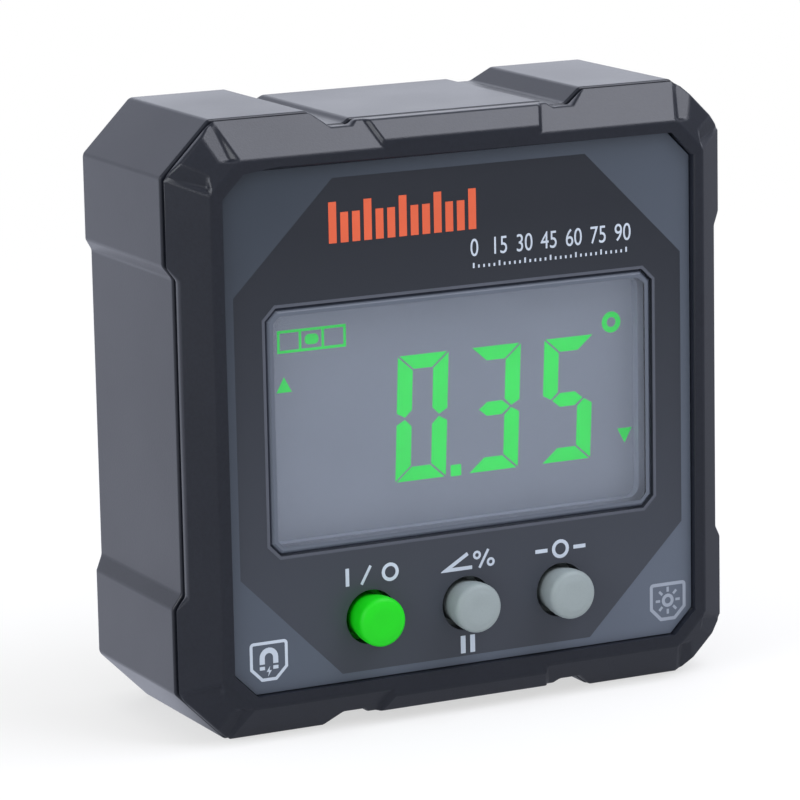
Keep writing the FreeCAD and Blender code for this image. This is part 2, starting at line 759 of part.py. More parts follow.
def board_circles(radius):
    """Circles about the two board screws, at opposite corners of the board."""
    return [(-d.board_screw_x, d.lower_screw_z, radius),
            (d.board_screw_x, d.upper_screw_z, radius)]


def finish_bezel(body):
    """Add the two grip strips and cut the eight notches."""
    strip = grip_strip()
    joined = doc.addObject("Part::MultiFuse", "bezel_with_strips")
    joined.Shapes = [body, strip, mirror(strip, Vector(0, 0, 1), d.half_height)]
    cut = doc.addObject("Part::Cut", "front_shell")
    cut.Label = "front_shell"
    cut.Base = joined
    cut.Tool = bezel_notches()
    return cut


# ---------------------------------------------------------------- rear shell
def rear_shell():
    """Back housing with the battery bay, screw bosses and magnet pockets."""
    body = new_body("rear_shell")
    slab(body, [case_outline()], d.shell_front_y, d.back_y)
    bevel_y = d.back_y - d.rear_bevel
    bevel_ends(body, d.back_y, bevel_y, d.rear_bevel)
    bevel_sides(body, d.back_y, bevel_y, d.rear_bevel)
    bevel_corners(body, d.back_y, bevel_y, d.corner_cut, d.rear_bevel)
    cavity = octagon(d.half_width - d.side_wall, d.half_height - d.end_wall,
                     d.cavity_corner_cut)
    slab(body, [cavity], d.shell_front_y, d.shell_floor_y, "Pocket")
    add_bosses(body)
    add_battery_bay(body)
    open_door_way(body)
    sink_magnets(body)
    return body


def add_bosses(body):
    """Ribbed tubes that take the case screws, each with a well for the head."""
    round_slab(body, case_circles(d.case_boss_radius), d.case_post_y, d.shell_floor_y)
    half = d.boss_rib / 2
    wall_x = d.half_width - d.side_wall
    wall_z = d.half_height - d.end_wall
    for side in (-1, 1):
        for end in (-1, 1):
            x = side * d.case_screw_x
            z = d.half_height + end * d.case_screw_z
            across = span((x, side * wall_x), (z - half, z + half))
            along = span((x - half, x + half), (z, d.half_height + end * wall_z))
            slab(body, [across], d.case_post_y, d.shell_floor_y)
            slab(body, [along], d.case_post_y, d.shell_floor_y)
    passages = case_circles(d.case_screw_radius + d.screw_passage)
    round_slab(body, passages, d.case_post_y, d.case_seat_y, "Pocket")
    wells = case_circles(d.case_head_radius + d.case_head_gap)
    round_slab(body, wells, d.case_seat_y, d.back_y, "Pocket")


def add_battery_bay(body):
    """Tray for the two cells, with slots for the contacts' solder tails."""
    wall = d.bay_wall
    tray = rectangle(d.bay_half_length + wall, d.bay_half_height + wall)
    slab(body, [tray], d.bay_front_y, d.shell_floor_y)
    slab(body, [rectangle(d.bay_half_length, d.bay_half_height)], d.bay_y, d.groove_y, "Pocket")
    high = d.bay_half_length
    low = high - d.contact_thickness - d.contact_gap
    slots = [span((low, high), (level - d.tail_width / 2 - d.contact_gap,
                                level + d.tail_width / 2 + d.contact_gap))
             for level in cell_levels()]
    slab(body, slots, d.bay_front_y, d.bay_y, "Pocket")


def cell_levels():
    """Heights of the lower and upper cell axes."""
    return [d.half_height - d.cell_pitch / 2, d.half_height + d.cell_pitch / 2]


def open_door_way(body):
    """Grooved opening that lets the battery door slide out to the right."""
    gap = d.door_gap
    exit_x = d.half_width + gap
    left = -(d.bay_half_length + d.door_frame)
    reach = d.door_tongue_reach
    tall = d.door_half_height + gap
    groove = span((left - reach - gap, exit_x),
                  (d.half_height - tall - reach, d.half_height + tall + reach))
    slab(body, [groove], d.groove_y, d.groove_back_y, "Pocket")
    mouth = span((left - gap, exit_x), (d.half_height - tall, d.half_height + tall))
    slab(body, [mouth], d.groove_back_y, d.back_y, "Pocket")


def magnet_places():
    """Sideways and front-to-back places of the four base magnets."""
    across = (d.end_gap_half + d.half_width - d.corner_cut) / 2
    middle = (d.shell_front_y + d.back_y - d.rear_bevel) / 2
    apart = d.magnet_radius + d.magnet_gap + d.magnet_spacing / 2
    return [(side * across, middle + end * apart) for side in (-1, 1) for end in (-1, 1)]


def sink_magnets(body):
    """Round pockets in the bottom bumpers."""
    sketch = new_sketch(body, "XY_Plane", 0)
    for x, y in magnet_places():
        draw_circle(sketch, x, y, d.magnet_radius + d.magnet_gap)
    extrude(body, "Pocket", sketch, d.magnet_sink + d.magnet_thickness, True)


# ---------------------------------------------------------------- face
def label_panel():
    """Printed face panel with the window opening and three button holes."""
    body = new_body("label_panel")
    gap = d.panel_clearance
    sheet = octagon(d.panel_half_width - gap, d.panel_half_height - gap, d.panel_corner_cut)
    window = octagon(d.window_width / 2, d.window_height / 2, d.window_corner_cut)
    slab(body, [sheet, window], d.panel_y, d.seat_y)
    radius = d.button_radius + d.button_sight_gap
    holes = [(x, d.button_level, radius) for x in button_centres()]
    round_slab(body, holes, d.panel_y, d.seat_y, "Pocket")
    return body


def display_window():
    """Clear lens with a bevelled rim, seated on the ledge of the bezel."""
    body = new_body("display_window")
    gap = d.window_clearance
    lens = octagon(d.window_width / 2 - gap, d.window_height / 2 - gap,
                   d.window_corner_cut)
    pad = slab(body, [lens], d.panel_y, d.window_back_y)
    doc.recompute()
    dress(body, "Chamfer", pad, edges_at_depth(pad.Shape, d.panel_y), "Size",
          d.window_chamfer)
    return body


def button(label, x):
    """Round key: cap with a rounded face, and the flange that holds it in."""
    body = new_body(label)
    rim = x + d.button_radius
    corner = d.button_round * (1 - 1 / ROOT_TWO)
    revolve(body, "XY_Plane", d.button_level, [
        (x, d.flange_back_y),
        (x, d.button_face_y),
        (rim - d.button_round, d.button_face_y),
        (rim - corner, d.button_face_y + corner),
        (rim, d.button_face_y + d.button_round),
        (rim, d.flange_y),
        (x + d.flange_radius, d.flange_y),
        (x + d.flange_radius, d.flange_back_y),
    ])
    return body


def plunger_ranges(x, gap):
    """Sides of a switch's square plunger, let out by a gap all round."""
    half = d.plunger_width / 2 + gap
    return (x - half, x + half), (d.button_level - half, d.button_level + half)


def switch(label, x):
    """Body of a tact switch with the square guide of its plunger."""
    body = new_body(label)
    z = d.button_level
    half = d.switch_width / 2
    square = span((x - half, x + half), (z - half, z + half))
    slab(body, [square], d.switch_y, d.board_y)
    guide_depth = d.plunger_seat + d.button_travel + d.plunger_seat
    guide = span(*plunger_ranges(x, d.plunger_clearance))
    slab(body, [guide], d.switch_y, d.switch_y + guide_depth, "Pocket")
    return body


def keys():
    """Three buttons, each over its own switch and plunger."""
    for name, x in zip(("on_off", "hold", "zero"), button_centres()):
        yield button(name + "_button", x)
        yield switch(name + "_switch", x)
        x_range, z_range = plunger_ranges(x, 0)
        yield block(name + "_plunger", x_range,
                    (d.flange_back_y, d.switch_y + d.plunger_seat), z_range)


# ---------------------------------------------------------------- display
def display_stack():
    """Glasses, polarisers, light guide and reflector, from front to back."""
    wide = (-d.glass_half_width, d.glass_half_width)
    bottom = d.glass_level - d.glass_half_height
    top = d.glass_level + d.glass_half_height
    ledge = bottom + d.glass_ledge
    margin = d.stack_margin
    inner = (wide[0] + margin, wide[1] - margin)
    led_side = inner[1] - d.led_width
    full = (bottom, top)
    film = (bottom + margin, top - margin)
    cell = (ledge, top)
    back_film = (ledge + margin, top - margin)
    layers = (
        ("front_polariser", d.polariser_thickness, inner, film),
        ("front_lcd_glass", d.glass_thickness, wide, full),
        ("rear_lcd_glass", d.glass_thickness, wide, cell),
        ("rear_polariser", d.polariser_thickness, inner, back_film),
        ("light_guide", d.guide_thickness, (inner[0], led_side), back_film),
        ("reflector_sheet", d.reflector_thickness, inner, back_film),
    )
    fronts = {}
    front = d.bezel_back_y + d.stack_clearance
    for name, thickness, x_range, z_range in layers:
        fronts[name] = front
        yield block(name, x_range, (front, front + thickness), z_range)
        front = front + thickness
    yield backlight_leds(led_side, (fronts["light_guide"], fronts["reflector_sheet"]))
    yield connector_strip(fronts["rear_lcd_glass"], bottom + d.glass_ledge / 2)


def connector_strip(front, level):
    """Elastomer strip from the front glass's ledge to the board."""
    half_length = d.connector_width / 2
    half = d.connector_thickness / 2
    return block("lcd_connector_strip", (-half_length, half_length), (front, d.board_y),
                 (level - half, level + half))


def backlight_leds(x, y_range):
    """Two lamps that shine into the end of the light guide."""
    half = d.led_length / 2
    lamps = []
    for end in (-1, 1):
        level = d.half_height + end * d.led_offset
        lamps.append(block("backlight_led", (x, x + d.led_width), y_range,
                           (level - half, level + half)))
    return group("backlight_leds", lamps)


def lcd_frame():
    """Frame that holds the glass square to the window and stands on the board."""
    body = new_body("lcd_frame")
    outer = rectangle(d.frame_half_width, d.frame_half_height, d.glass_level)
    inner = rectangle(d.frame_half_width - d.frame_wall,
                      d.frame_half_height - d.frame_wall, d.glass_level)
    slab(body, [outer, inner], d.bezel_back_y, d.board_y)
    return body


# ---------------------------------------------------------------- board
def main_board():
    """Circuit board with cut corners and four screw holes."""
    body = new_body("main_board")
    sheet = octagon(d.board_half_width, d.board_half_height, d.board_corner_cut)
    slab(body, [sheet], d.board_y, d.board_back_y)
    holes = board_circles(d.board_screw_radius + d.screw_passage)
    round_slab(body, holes, d.board_y, d.board_back_y, "Pocket")
    return body


def tilt_sensor():
    half = d.sensor_width / 2
    level = d.half_height + d.sensor_level
    return block("tilt_sensor", (-half, half),
                 (d.board_back_y, d.board_back_y + d.sensor_height),
                 (level - half, level + half))


def controller_chip():
    """Flat chip with a row of leads along its top and bottom."""
    body = new_body("controller_chip")
    half = d.chip_width / 2
    x = -d.chip_offset
    z = d.half_height
    top = d.board_back_y + d.chip_height
    core = span((x - half, x + half), (z - half, z + half))
    slab(body, [core], d.board_back_y, top)
    lead_x = x - half + d.chip_lead_pitch / 2
    lead = span((lead_x, lead_x + d.chip_lead_width),
                (z - half - d.chip_lead_reach, z + half + d.chip_lead_reach))
    leads = slab(body, [lead], d.board_back_y, d.board_back_y + d.chip_lead_width / 2)
    repeat_leads(body, leads)
    return body


def repeat_leads(body, leads):
    """Row of leads along the chip."""
    pattern = body.newObject("PartDesign::LinearPattern", "chip_lead_row")
    pattern.Originals = [leads]
    axis = next(item for item in body.Origin.OriginFeatures if item.Role == "X_Axis")
    pattern.Direction = (axis, [""])
    count = max(2, int(d.chip_width.value / d.chip_lead_pitch.value))
    pattern.Occurrences = count
    bind(pattern, "Length", (count - 1) * d.chip_lead_pitch)
    body.Tip = pattern


def timing_crystal():
    """Small can that lies flat on the board."""
    crystal = doc.addObject("Part::Cylinder", "timing_crystal")
    crystal.Label = "timing_crystal"
    bind(crystal, "Radius", d.crystal_radius)
    bind(crystal, "Height", d.crystal_length)
    bind(crystal, "Placement.Base.x", d.crystal_offset)
    bind(crystal, "Placement.Base.y", d.board_back_y + d.crystal_radius)
    bind(crystal, "Placement.Base.z", d.half_height - d.crystal_length / 2)
    return crystal


def board_capacitors():
    """Row of small capacitors below the controller."""
    count = 4
    half_l = d.capacitor_length / 2
    half_w = d.capacitor_width / 2
    level = d.half_height - d.capacitor_level
    chips = []
    for index in range(count):
        x = (index - (count - 1) / 2) * d.capacitor_pitch
        chips.append(block("board_capacitor", (x - half_w, x + half_w),
                           (d.board_back_y, d.board_back_y + d.capacitor_width),
                           (level - half_l, level + half_l)))
    return group("board_capacitors", chips)


def board_screws():
    """Two screws that hold the board to the bezel's posts."""
    screws = []
    for index, (x, z, radius) in enumerate(board_circles(d.board_screw_radius)):
        screws.append(screw("board_screw_%d" % (index + 1), x, z, d.board_back_y, radius,
                            d.board_screw_length, d.board_head_radius,
                            d.board_head_height))
    return group("board_screws", screws)


def case_screws():
    """Four screws that join the shells from the back."""
    screws = []
    for index, (x, z, radius) in enumerate(case_circles(d.case_screw_radius)):
        screws.append(screw("case_screw_%d" % (index + 1), x, z, d.case_seat_y, radius,
                            d.case_screw_length, d.case_head_radius,
                            d.case_head_height))
    return group("case_screws", screws)


# ---------------------------------------------------------------- battery bay
def battery(label, level, side):
    """AAA cell that lies across the case, its raised terminal toward one side."""
    body = new_body(label)
    tip = side * (d.bay_half_length - d.contact_thickness - d.contact_bump - d.contact_gap)
    shoulder = tip - side * d.cell_terminal_length
    tail = tip - side * d.cell_length
    core = d.cell_terminal_radius
    revolve(body, "XY_Plane", level, [
        (tail, d.cell_y),
        (tip, d.cell_y),
        (tip, d.cell_y + core),
        (shoulder, d.cell_y + core),
        (shoulder, d.cell_y + d.cell_radius),
        (tail, d.cell_y + d.cell_radius),
    ])
    return body


def contact_plate(body, side, levels, tail):
    """Plate against the end wall of the bay, with an optional solder tail."""
    wall = side * d.bay_half_length
    face = wall - side * d.contact_thickness
    half = d.contact_width / 2
    plate = span((face, wall), (levels[0] - half, levels[-1] + half))
    slab(body, [plate], d.bay_y + d.contact_gap, d.cell_y + half)
    if tail:
        leg = span((face, wall), (levels[0] - d.tail_width / 2,
                                  levels[0] + d.tail_width / 2))
        slab(body, [leg], d.board_back_y, d.bay_y + d.contact_gap)
    return face


def add_bump(body, side, level, face):
    """Dimple that meets the raised terminal of a cell."""
    radius = d.cell_terminal_radius
    sketch = new_sketch(body, "YZ_Plane", face)
    draw_circle(sketch, d.cell_y, level, radius)
    extrude(body, "Pad", sketch, d.contact_bump, side < 0)


def add_leaf(body, side, level, face):
    """Bent leaf spring that presses on the flat end of a cell."""
    thickness = d.contact_thickness
    root = face + side * thickness / 2
    crest = face - side * d.leaf_reach
    under = crest + side * thickness
    tip = face - side * thickness
    start = d.bay_y + 2 * d.contact_gap
    end = d.cell_y + d.contact_width / 2
    sketch = new_sketch(body, "XY_Plane", level - d.leaf_width / 2)
    draw_polygon(sketch, [
        (root, start),
        (crest, d.cell_y - thickness),
        (crest, d.cell_y + thickness),
        (tip, end),
        (tip, end - 2 * thickness),
        (under, d.cell_y + thickness / 2),
        (under, d.cell_y - thickness / 2),
        (root, start + 2 * thickness),
    ])
    extrude(body, "Pad", sketch, d.leaf_width, True)


def battery_contacts():
    """Bridge on the left; positive and negative contacts on the right."""
    lower, upper = cell_levels()
    bridge = new_body("bridge_contact")
    face = contact_plate(bridge, -1, [lower, upper], False)
    add_bump(bridge, -1, upper, face)
    add_leaf(bridge, -1, lower, face)
    positive = new_body("positive_contact")
    face = contact_plate(positive, 1, [lower], True)
    add_bump(positive, 1, lower, face)
    negative = new_body("negative_contact")
    face = contact_plate(negative, 1, [upper], True)
    add_leaf(negative, 1, upper, face)
    return [bridge, positive, negative]


def battery_door():
    """Sliding door: plate, tongues on three edges, bevelled end, finger grooves."""
    body = new_body("battery_door")
    end_x = d.half_width - d.side_recess
    left = -(d.bay_half_length + d.door_frame)
    reach = d.door_tongue_reach
    low = d.half_height - d.door_half_height
    high = d.half_height + d.door_half_height
    slab(body, [span((left - reach, end_x), (low - reach, high + reach))],
         d.door_y, d.tongue_back_y)
    slab(body, [span((left, end_x), (low, high))], d.tongue_back_y, d.back_y)
    bevel_sides(body, d.back_y, d.back_y - d.rear_bevel, d.rear_bevel)
    cut_finger_grooves(body)
    return body


def cut_finger_grooves(body):
    """Row of shallow grooves for the thumb that slides the door."""
    first = d.half_width - d.rear_bevel - d.grip_setback
    half = d.grip_length / 2
    groove = span((first - d.grip_groove, first), (d.half_height - half, d.half_height + half))
    pocket = slab(body, [groove], d.back_y - d.grip_depth, d.back_y, "Pocket")
    pattern = body.newObject("PartDesign::LinearPattern", "grip_row")
    pattern.Originals = [pocket]
    axis = next(item for item in body.Origin.OriginFeatures if item.Role == "X_Axis")
    pattern.Direction = (axis, [""])
    pattern.Reversed = True
    count = 5
    pattern.Occurrences = count
    bind(pattern, "Length", (count - 1) * d.grip_pitch)
    body.Tip = pattern


def base_magnets():
    """Four disc magnets, just above the plane that the case stands on."""
    magnets = []
    for x, y in magnet_places():
        magnet = doc.addObject("Part::Cylinder", "base_magnet")
        bind(magnet, "Radius", d.magnet_radius)
        bind(magnet, "Height", d.magnet_thickness)
        bind(magnet, "Placement.Base.x", x)
        bind(magnet, "Placement.Base.y", y)
        bind(magnet, "Placement.Base.z", d.magnet_sink)
        magnets.append(magnet)
    return group("base_magnets", magnets)


# ---------------------------------------------------------------- assembly
def build_parts():
    """Every piece of the instrument, each an object of its own."""
    lower, upper = cell_levels()
    pieces = [front_shell(), rear_shell(), label_panel(), display_window()]
    pieces += keys()
    pieces += display_stack()
    pieces += [lcd_frame(), main_board(), tilt_sensor(), controller_chip()]
    pieces += [timing_crystal(), board_capacitors(), board_screws(), case_screws()]
    pieces += [battery("lower_battery", lower, 1), battery("upper_battery", upper, -1)]
    pieces += battery_contacts()
    pieces += [battery_door(), base_magnets()]
    return pieces


def check(pieces):
    """Stop if any feature failed or any piece isn't a sound solid."""
    for item in doc.Objects:
        if "Invalid" in item.State or "Error" in item.State:
            raise RuntimeError("feature failed: " + item.Label)
    for piece in pieces:
        shape = piece.Shape
        if shape.isNull() or not shape.isValid() or not shape.Solids:
            raise RuntimeError("unsound piece: " + piece.Label)


def export(pieces):
    os.makedirs("parts", exist_ok=True)
    for piece in pieces:
        piece.Shape.exportStep(os.path.join("parts", piece.Label + ".step"))
        print("%-22s %2d solid(s) %10.1f mm3" % (
            piece.Label, len(piece.Shape.Solids), piece.Shape.Volume))


parts = build_parts()
doc.recompute()
check(parts)
export(parts)
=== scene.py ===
"""Looks of a pocket inclinometer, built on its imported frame."""

import logging
from collections.abc import Mapping, Sequence
from dataclasses import dataclass
from enum import Enum
from math import cos, hypot, radians, sin

import bmesh
import bpy
from bmesh.types import BMEdge, BMesh, BMVert
from bpy.types import ID, Material, Mesh, Node, NodeSocket, NodeTree, Object
from mathutils import Matrix, Vector
from mathutils.bvhtree import BVHTree

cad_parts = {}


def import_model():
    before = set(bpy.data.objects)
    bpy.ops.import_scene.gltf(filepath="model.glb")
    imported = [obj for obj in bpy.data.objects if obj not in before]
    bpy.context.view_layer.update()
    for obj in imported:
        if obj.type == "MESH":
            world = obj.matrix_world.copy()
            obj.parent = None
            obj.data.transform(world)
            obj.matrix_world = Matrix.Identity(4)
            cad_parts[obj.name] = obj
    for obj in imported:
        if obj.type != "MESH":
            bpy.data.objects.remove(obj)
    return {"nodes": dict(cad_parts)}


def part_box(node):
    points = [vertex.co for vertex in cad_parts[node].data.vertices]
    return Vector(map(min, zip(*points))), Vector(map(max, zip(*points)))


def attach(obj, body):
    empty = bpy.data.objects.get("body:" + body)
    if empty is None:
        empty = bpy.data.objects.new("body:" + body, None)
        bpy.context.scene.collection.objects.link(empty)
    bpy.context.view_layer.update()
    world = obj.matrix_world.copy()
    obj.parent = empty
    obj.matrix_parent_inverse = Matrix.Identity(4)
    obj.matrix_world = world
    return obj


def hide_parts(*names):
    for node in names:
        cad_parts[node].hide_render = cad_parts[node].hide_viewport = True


MM = 0.001
NOISE_SPAN = (0.3, 0.7)
WHITE = (1.0, 1.0, 1.0)
LOG = logging.getLogger("inclinometer")
MADE: dict[str, Material] = {}

Colour = tuple[float, float, float]
Place = tuple[float, float, float]
Point = tuple[float, float]
Outline = Sequence[Point]
Loop = tuple[Outline, float]
Settings = Mapping[str, object]
Inputs = Mapping[int | str, object]


def tone(red: float, green: float, blue: float) -> Colour:
    """Linear colour of three screen levels from 0 to 255."""
    levels = (red / 255, green / 255, blue / 255)
    return tuple(c / 12.92 if c <= 0.04045 else ((c + 0.055) / 1.055) ** 2.4 for c in levels)


class Body(Enum):
    """Bodies of the frame that pieces ride on."""

    CASE = "case"
    ON_OFF = "on_off_key"
    HOLD = "hold_key"
    ZERO = "zero_key"
    DOOR = "door"


class Way(Enum):
    """Ways that a pointer of the display can point."""

    UP = 1
    DOWN = -1


# ---- node tools
class Signal:
    """A number in a node tree, whose operators add Math nodes."""

    def __init__(self, graph: "Graph", socket: NodeSocket) -> None:
        """Keep the socket and the graph that it belongs to."""
        self.graph = graph
        self.socket = socket

    def __add__(self, other: object) -> "Signal":
        """Sum."""
        return self.graph.math("ADD", self, other)

    __radd__ = __add__

    def __sub__(self, other: object) -> "Signal":
        """Difference."""
        return self.graph.math("SUBTRACT", self, other)

    def __rsub__(self, other: object) -> "Signal":
        """Difference from a number."""
        return self.graph.math("SUBTRACT", other, self)

    def __mul__(self, other: object) -> "Signal":
        """Product."""
        return self.graph.math("MULTIPLY", self, other)

    __rmul__ = __mul__

    def __truediv__(self, other: object) -> "Signal":
        """Quotient."""
        return self.graph.math("DIVIDE", self, other)

    def __mod__(self, other: object) -> "Signal":
        """Remainder."""
        return self.graph.math("MODULO", self, other)

    def __abs__(self) -> "Signal":
        """Size without sign."""
        return self.graph.math("ABSOLUTE", self)

    def __lt__(self, other: object) -> "Signal":
        """One where this is the less, otherwise nought."""
        return self.graph.math("LESS_THAN", self, other)

    def __gt__(self, other: object) -> "Signal":
        """One where this is the more, otherwise nought."""
        return self.graph.math("GREATER_THAN", self, other)


class Graph:
    """Node tree of a material, of the world or of a modifier."""

    def __init__(self, owner: ID) -> None:
        """Take a node tree and empty it.

        Args:
            owner: a material, a world or a bare node group.
        """
        bare = isinstance(owner, NodeTree)
        if not bare:
            owner.use_nodes = True
        self.tree = owner if bare else owner.node_tree
        self.tree.nodes.clear()

    def node(self, kind: str, settings: Settings | None = None,
             inputs: Inputs | None = None) -> Node:
        """Add a node.

        Args:
            kind: the node's type.
            settings: its properties, which are set first.
            inputs: values or links of its sockets, by name or number.

        Returns:
            The new node.
        """
        made = self.tree.nodes.new(kind)
        for name, value in (settings or {}).items():
            setattr(made, name, value)
        for key, value in (inputs or {}).items():
            source = value.socket if isinstance(value, Signal) else value
            if isinstance(source, NodeSocket):
                self.tree.links.new(source, made.inputs[key])
            elif made.inputs[key].type == "RGBA":
                made.inputs[key].default_value = (*source, 1.0)
            else:
                made.inputs[key].default_value = source
        return made

    def signal(self, kind: str, settings: Settings | None = None,
               inputs: Inputs | None = None, output: int | str = 0) -> Signal:
        """Number that a new node gives at one of its outputs."""
        return Signal(self, self.node(kind, settings, inputs).outputs[output])

    def math(self, operation: str, *terms: object) -> Signal:
        """Result of a Math node on numbers or signals."""
        return self.signal("ShaderNodeMath", {"operation": operation}, dict(enumerate(terms)))

    def ray(self, name: str) -> Signal:
        """One for a kind of ray, otherwise nought."""
        return self.signal("ShaderNodeLightPath", output=name)

    def place(self) -> NodeSocket:
        """Object coordinates, in metres."""
        return self.node("ShaderNodeTexCoord").outputs["Object"]

    def axes(self) -> list[Signal]:
        """Object coordinates as three signals."""
        split = self.node("ShaderNodeSeparateXYZ", None, {0: self.place()})
        return [Signal(self, output) for output in split.outputs]

    def noise(self, size: float, detail: float = 2.0, stretch: Colour = WHITE) -> Signal:
        """Smooth noise about one half.

        Args:
            size: width of a patch, in metres.
            detail: octaves of finer noise.
            stretch: how much longer a patch is along each axis.

        Returns:
            The noise.
        """
        scaled = self.node("ShaderNodeMapping", None, {
            "Vector": self.place(), "Scale": tuple(1 / way for way in stretch)})
        return self.signal("ShaderNodeTexNoise", None, {
            "Vector": scaled.outputs[0], "Scale": 1 / size, "Detail": detail})

    def ramp(self, signal: Signal, over: Point, values: Point, bend: str = "LINEAR") -> Signal:
        """Signal that runs between two values while another runs over two levels."""
        return self.signal("ShaderNodeMapRange", {"interpolation_type": bend},
                           dict(enumerate((signal, *over, *values))))

    def spread(self, noise: Signal, low: float = 0.0, high: float = 1.0) -> Signal:
        """Noise stretched to run between two values."""
        return self.ramp(noise, NOISE_SPAN, (low, high))

    def blend(self, factor: Signal, first: object, second: object) -> NodeSocket:
        """Mix of two colours, by the share of the second."""
        return self.node("ShaderNodeMix", {"data_type": "RGBA"},
                         {0: factor, 6: first, 7: second}).outputs[2]

    def relief(self, height: Signal, depth: float) -> NodeSocket:
        """Normal of a surface whose fine relief is so deep, in metres."""
        return self.node("ShaderNodeBump", None,
                         {"Strength": 1.0, "Distance": depth, "Height": height}).outputs[0]

    def finish(self, surface: Node, kind: str = "Material") -> None:
        """Send a shader to the output."""
        self.node("ShaderNodeOutput" + kind, None, {"Surface": surface.outputs[0]})

    def declare(self, sockets: Mapping[str, str]) -> Mapping[str, NodeSocket]:
        """Declare what a node group takes, and that it gives a geometry.

        Args:
            sockets: kind of each input, by name.

        Returns:
            The inputs, by name.
        """
        for name, kind in sockets.items():
            self.tree.interface.new_socket(name, in_out="INPUT", socket_type="NodeSocket" + kind)
        self.tree.interface.new_socket("Geometry", in_out="OUTPUT",
                                       socket_type="NodeSocketGeometry")
        return self.node("NodeGroupInput").outputs

    def deliver(self, copies: Node, finish: NodeSocket) -> None:
        """Turn instances into a dressed mesh that the node group gives.

        Args:
            copies: the node that places them.
            finish: input that holds their material.
        """
        solid = self.node("GeometryNodeRealizeInstances", None, {"Geometry": copies.outputs[0]})
        dressed = self.node("GeometryNodeSetMaterial", None, {
            "Geometry": solid.outputs[0], "Material": finish})
        self.node("NodeGroupOutput", None, {"Geometry": dressed.outputs[0]})


# ---- finishes
@dataclass(frozen=True)
class Finish:
    """What a surface is made of: here a smooth material with a slight drift of tone."""

    name: str
    colour: Colour
    roughness: float
    ior: float = 1.5
    alpha: float = 1.0
    drift: float = 0.05
    grain: float = 0.1 * MM
    depth: float = 0.0
    drift_patch: float = 6 * MM
    matt_patch: float = 1.3 * MM
    stray: float = 0.08

    def material(self) -> Material:
        """The material of this finish, made once."""
        if self.name not in MADE:
            MADE[self.name] = bpy.data.materials.new(self.name + "_finish")
            self.paint(Graph(MADE[self.name]))
        return MADE[self.name]

    def tint(self, graph: Graph) -> NodeSocket:
        """Base colour with a broad, faint drift.

        Args:
            graph: the material's graph.

        Returns:
            The colour.
        """
        dark = tuple(c * (1 - self.drift) for c in self.colour)
        light = tuple(min(c * (1 + self.drift), 1.0) for c in self.colour)
        return graph.blend(graph.spread(graph.noise(self.drift_patch, 3)), dark, light)

    def matt(self, graph: Graph, noise: Signal) -> Signal:
        """Roughness that strays a little along a noise."""
        return graph.spread(noise, *(self.roughness * (1 + way * self.stray) for way in (-1, 1)))

    def shade(self, graph: Graph, inputs: Mapping[str, object]) -> None:
        """Finish a graph with a plain shader and these inputs."""
        graph.finish(graph.node("ShaderNodeBsdfPrincipled", None,
                                {"IOR": self.ior, "Alpha": self.alpha, **inputs}))

    def paint(self, graph: Graph) -> None:
        """Fill a graph with this finish.

        Args:
            graph: the material's graph.
        """
        inputs = {"Base Color": self.tint(graph),
                  "Roughness": self.matt(graph, graph.noise(self.matt_patch))}
        if self.depth:
            inputs["Normal"] = graph.relief(graph.noise(self.grain), self.depth)
        self.shade(graph, inputs)


@dataclass(frozen=True)
class Ink(Finish):
    """Screen-printed ink."""

    roughness: float = 0.4
    grain: float = 0.08 * MM
    depth: float = 0.001 * MM


@dataclass(frozen=True)
class Moulded(Finish):
    """Eroded-mould plastic: fine even grain, with paler specks at random."""

    worn: Colour = (0.0, 0.0, 0.0)
    worn_share: float = 0.25
    matt_patch: float = 14 * MM
    stray: float = 0.06

    def paint(self, graph: Graph) -> None:
        """Fill the graph with this finish."""
        speck = graph.spread(graph.noise(self.grain * 1.6, 1))
        self.shade(graph, {
            "Base Color": graph.blend(speck * self.worn_share, self.tint(graph), self.worn),
            "Roughness": self.matt(graph, graph.noise(self.matt_patch, 4)),
            "Normal": graph.relief(graph.noise(self.grain, 3), self.depth)})


@dataclass(frozen=True)
class PrintedFilm(Finish):
    """Face film with a darker octagon printed over a lighter ground.

    Both greys have painted light and shade: the ground lightens to its lower right, the octagon
    downwards.
    """

    # light is the ground's painted-light tone at its lower right; centre is the octagon's tone
    # in painted shade at the top, and the field after it is its lighter tone below
    light: Colour = WHITE
    centre: Colour = WHITE
    centre_low_painted_light: Colour = WHITE
    half: float = 24.15 * MM
    middle: float = 29.75 * MM
    cut: float = 10.55 * MM
    # these two place the painted light and shade: the ground's lighter lower right and the
    # octagon's shaded top
    painted_light_slant: Point = (0.43, 0.57)
    painted_shade_span: Point = (0.1, 0.85)
    matt_patch: float = 9 * MM
    stray: float = 0.1

    def paint(self, graph: Graph) -> None:
        """Fill a graph with this finish.

        Args:
            graph: the material's graph.
        """
        x, _, z = graph.axes()
        across, along = abs(x), abs(z - self.middle)
        inside = ((across < self.half) * (along < self.half)
                  * (across + along < 2 * self.half - self.cut))
        from_left = (x + self.half) / (2 * self.half)
        from_top = (self.middle + self.half - z) / (2 * self.half)
        # painted light: the ground lightens towards the lower right
        corner = from_left * self.painted_light_slant[0] + from_top * self.painted_light_slant[1]
        ground = graph.blend(graph.ramp(corner, (0, 1), (0, 1)), self.tint(graph), self.light)
        # painted shade at the octagon's top, under the rim, lightening downwards
        octagon_painted_shade = graph.blend(graph.ramp(from_top, self.painted_shade_span, (0, 1)),
                                   self.centre, self.centre_low_painted_light)
        self.shade(graph, {
            "Base Color": graph.blend(inside, ground, octagon_painted_shade),
            "Roughness": self.matt(graph, graph.noise(self.matt_patch, 3)),
            "Normal": graph.relief(graph.noise(self.grain), self.depth)})


@dataclass(frozen=True)
class Glow(Finish):
    """Glowing display colour, with a slight random drift; on the grey display the glow is partly
    painted light.
    """

    light: float = 0.3

    def paint(self, graph: Graph) -> None:
        """Fill the graph with this finish."""
        base = self.tint(graph)
        self.shade(graph, {"Base Color": base, "Emission Color": base,
                           "Emission Strength": self.light, "Roughness": self.roughness})


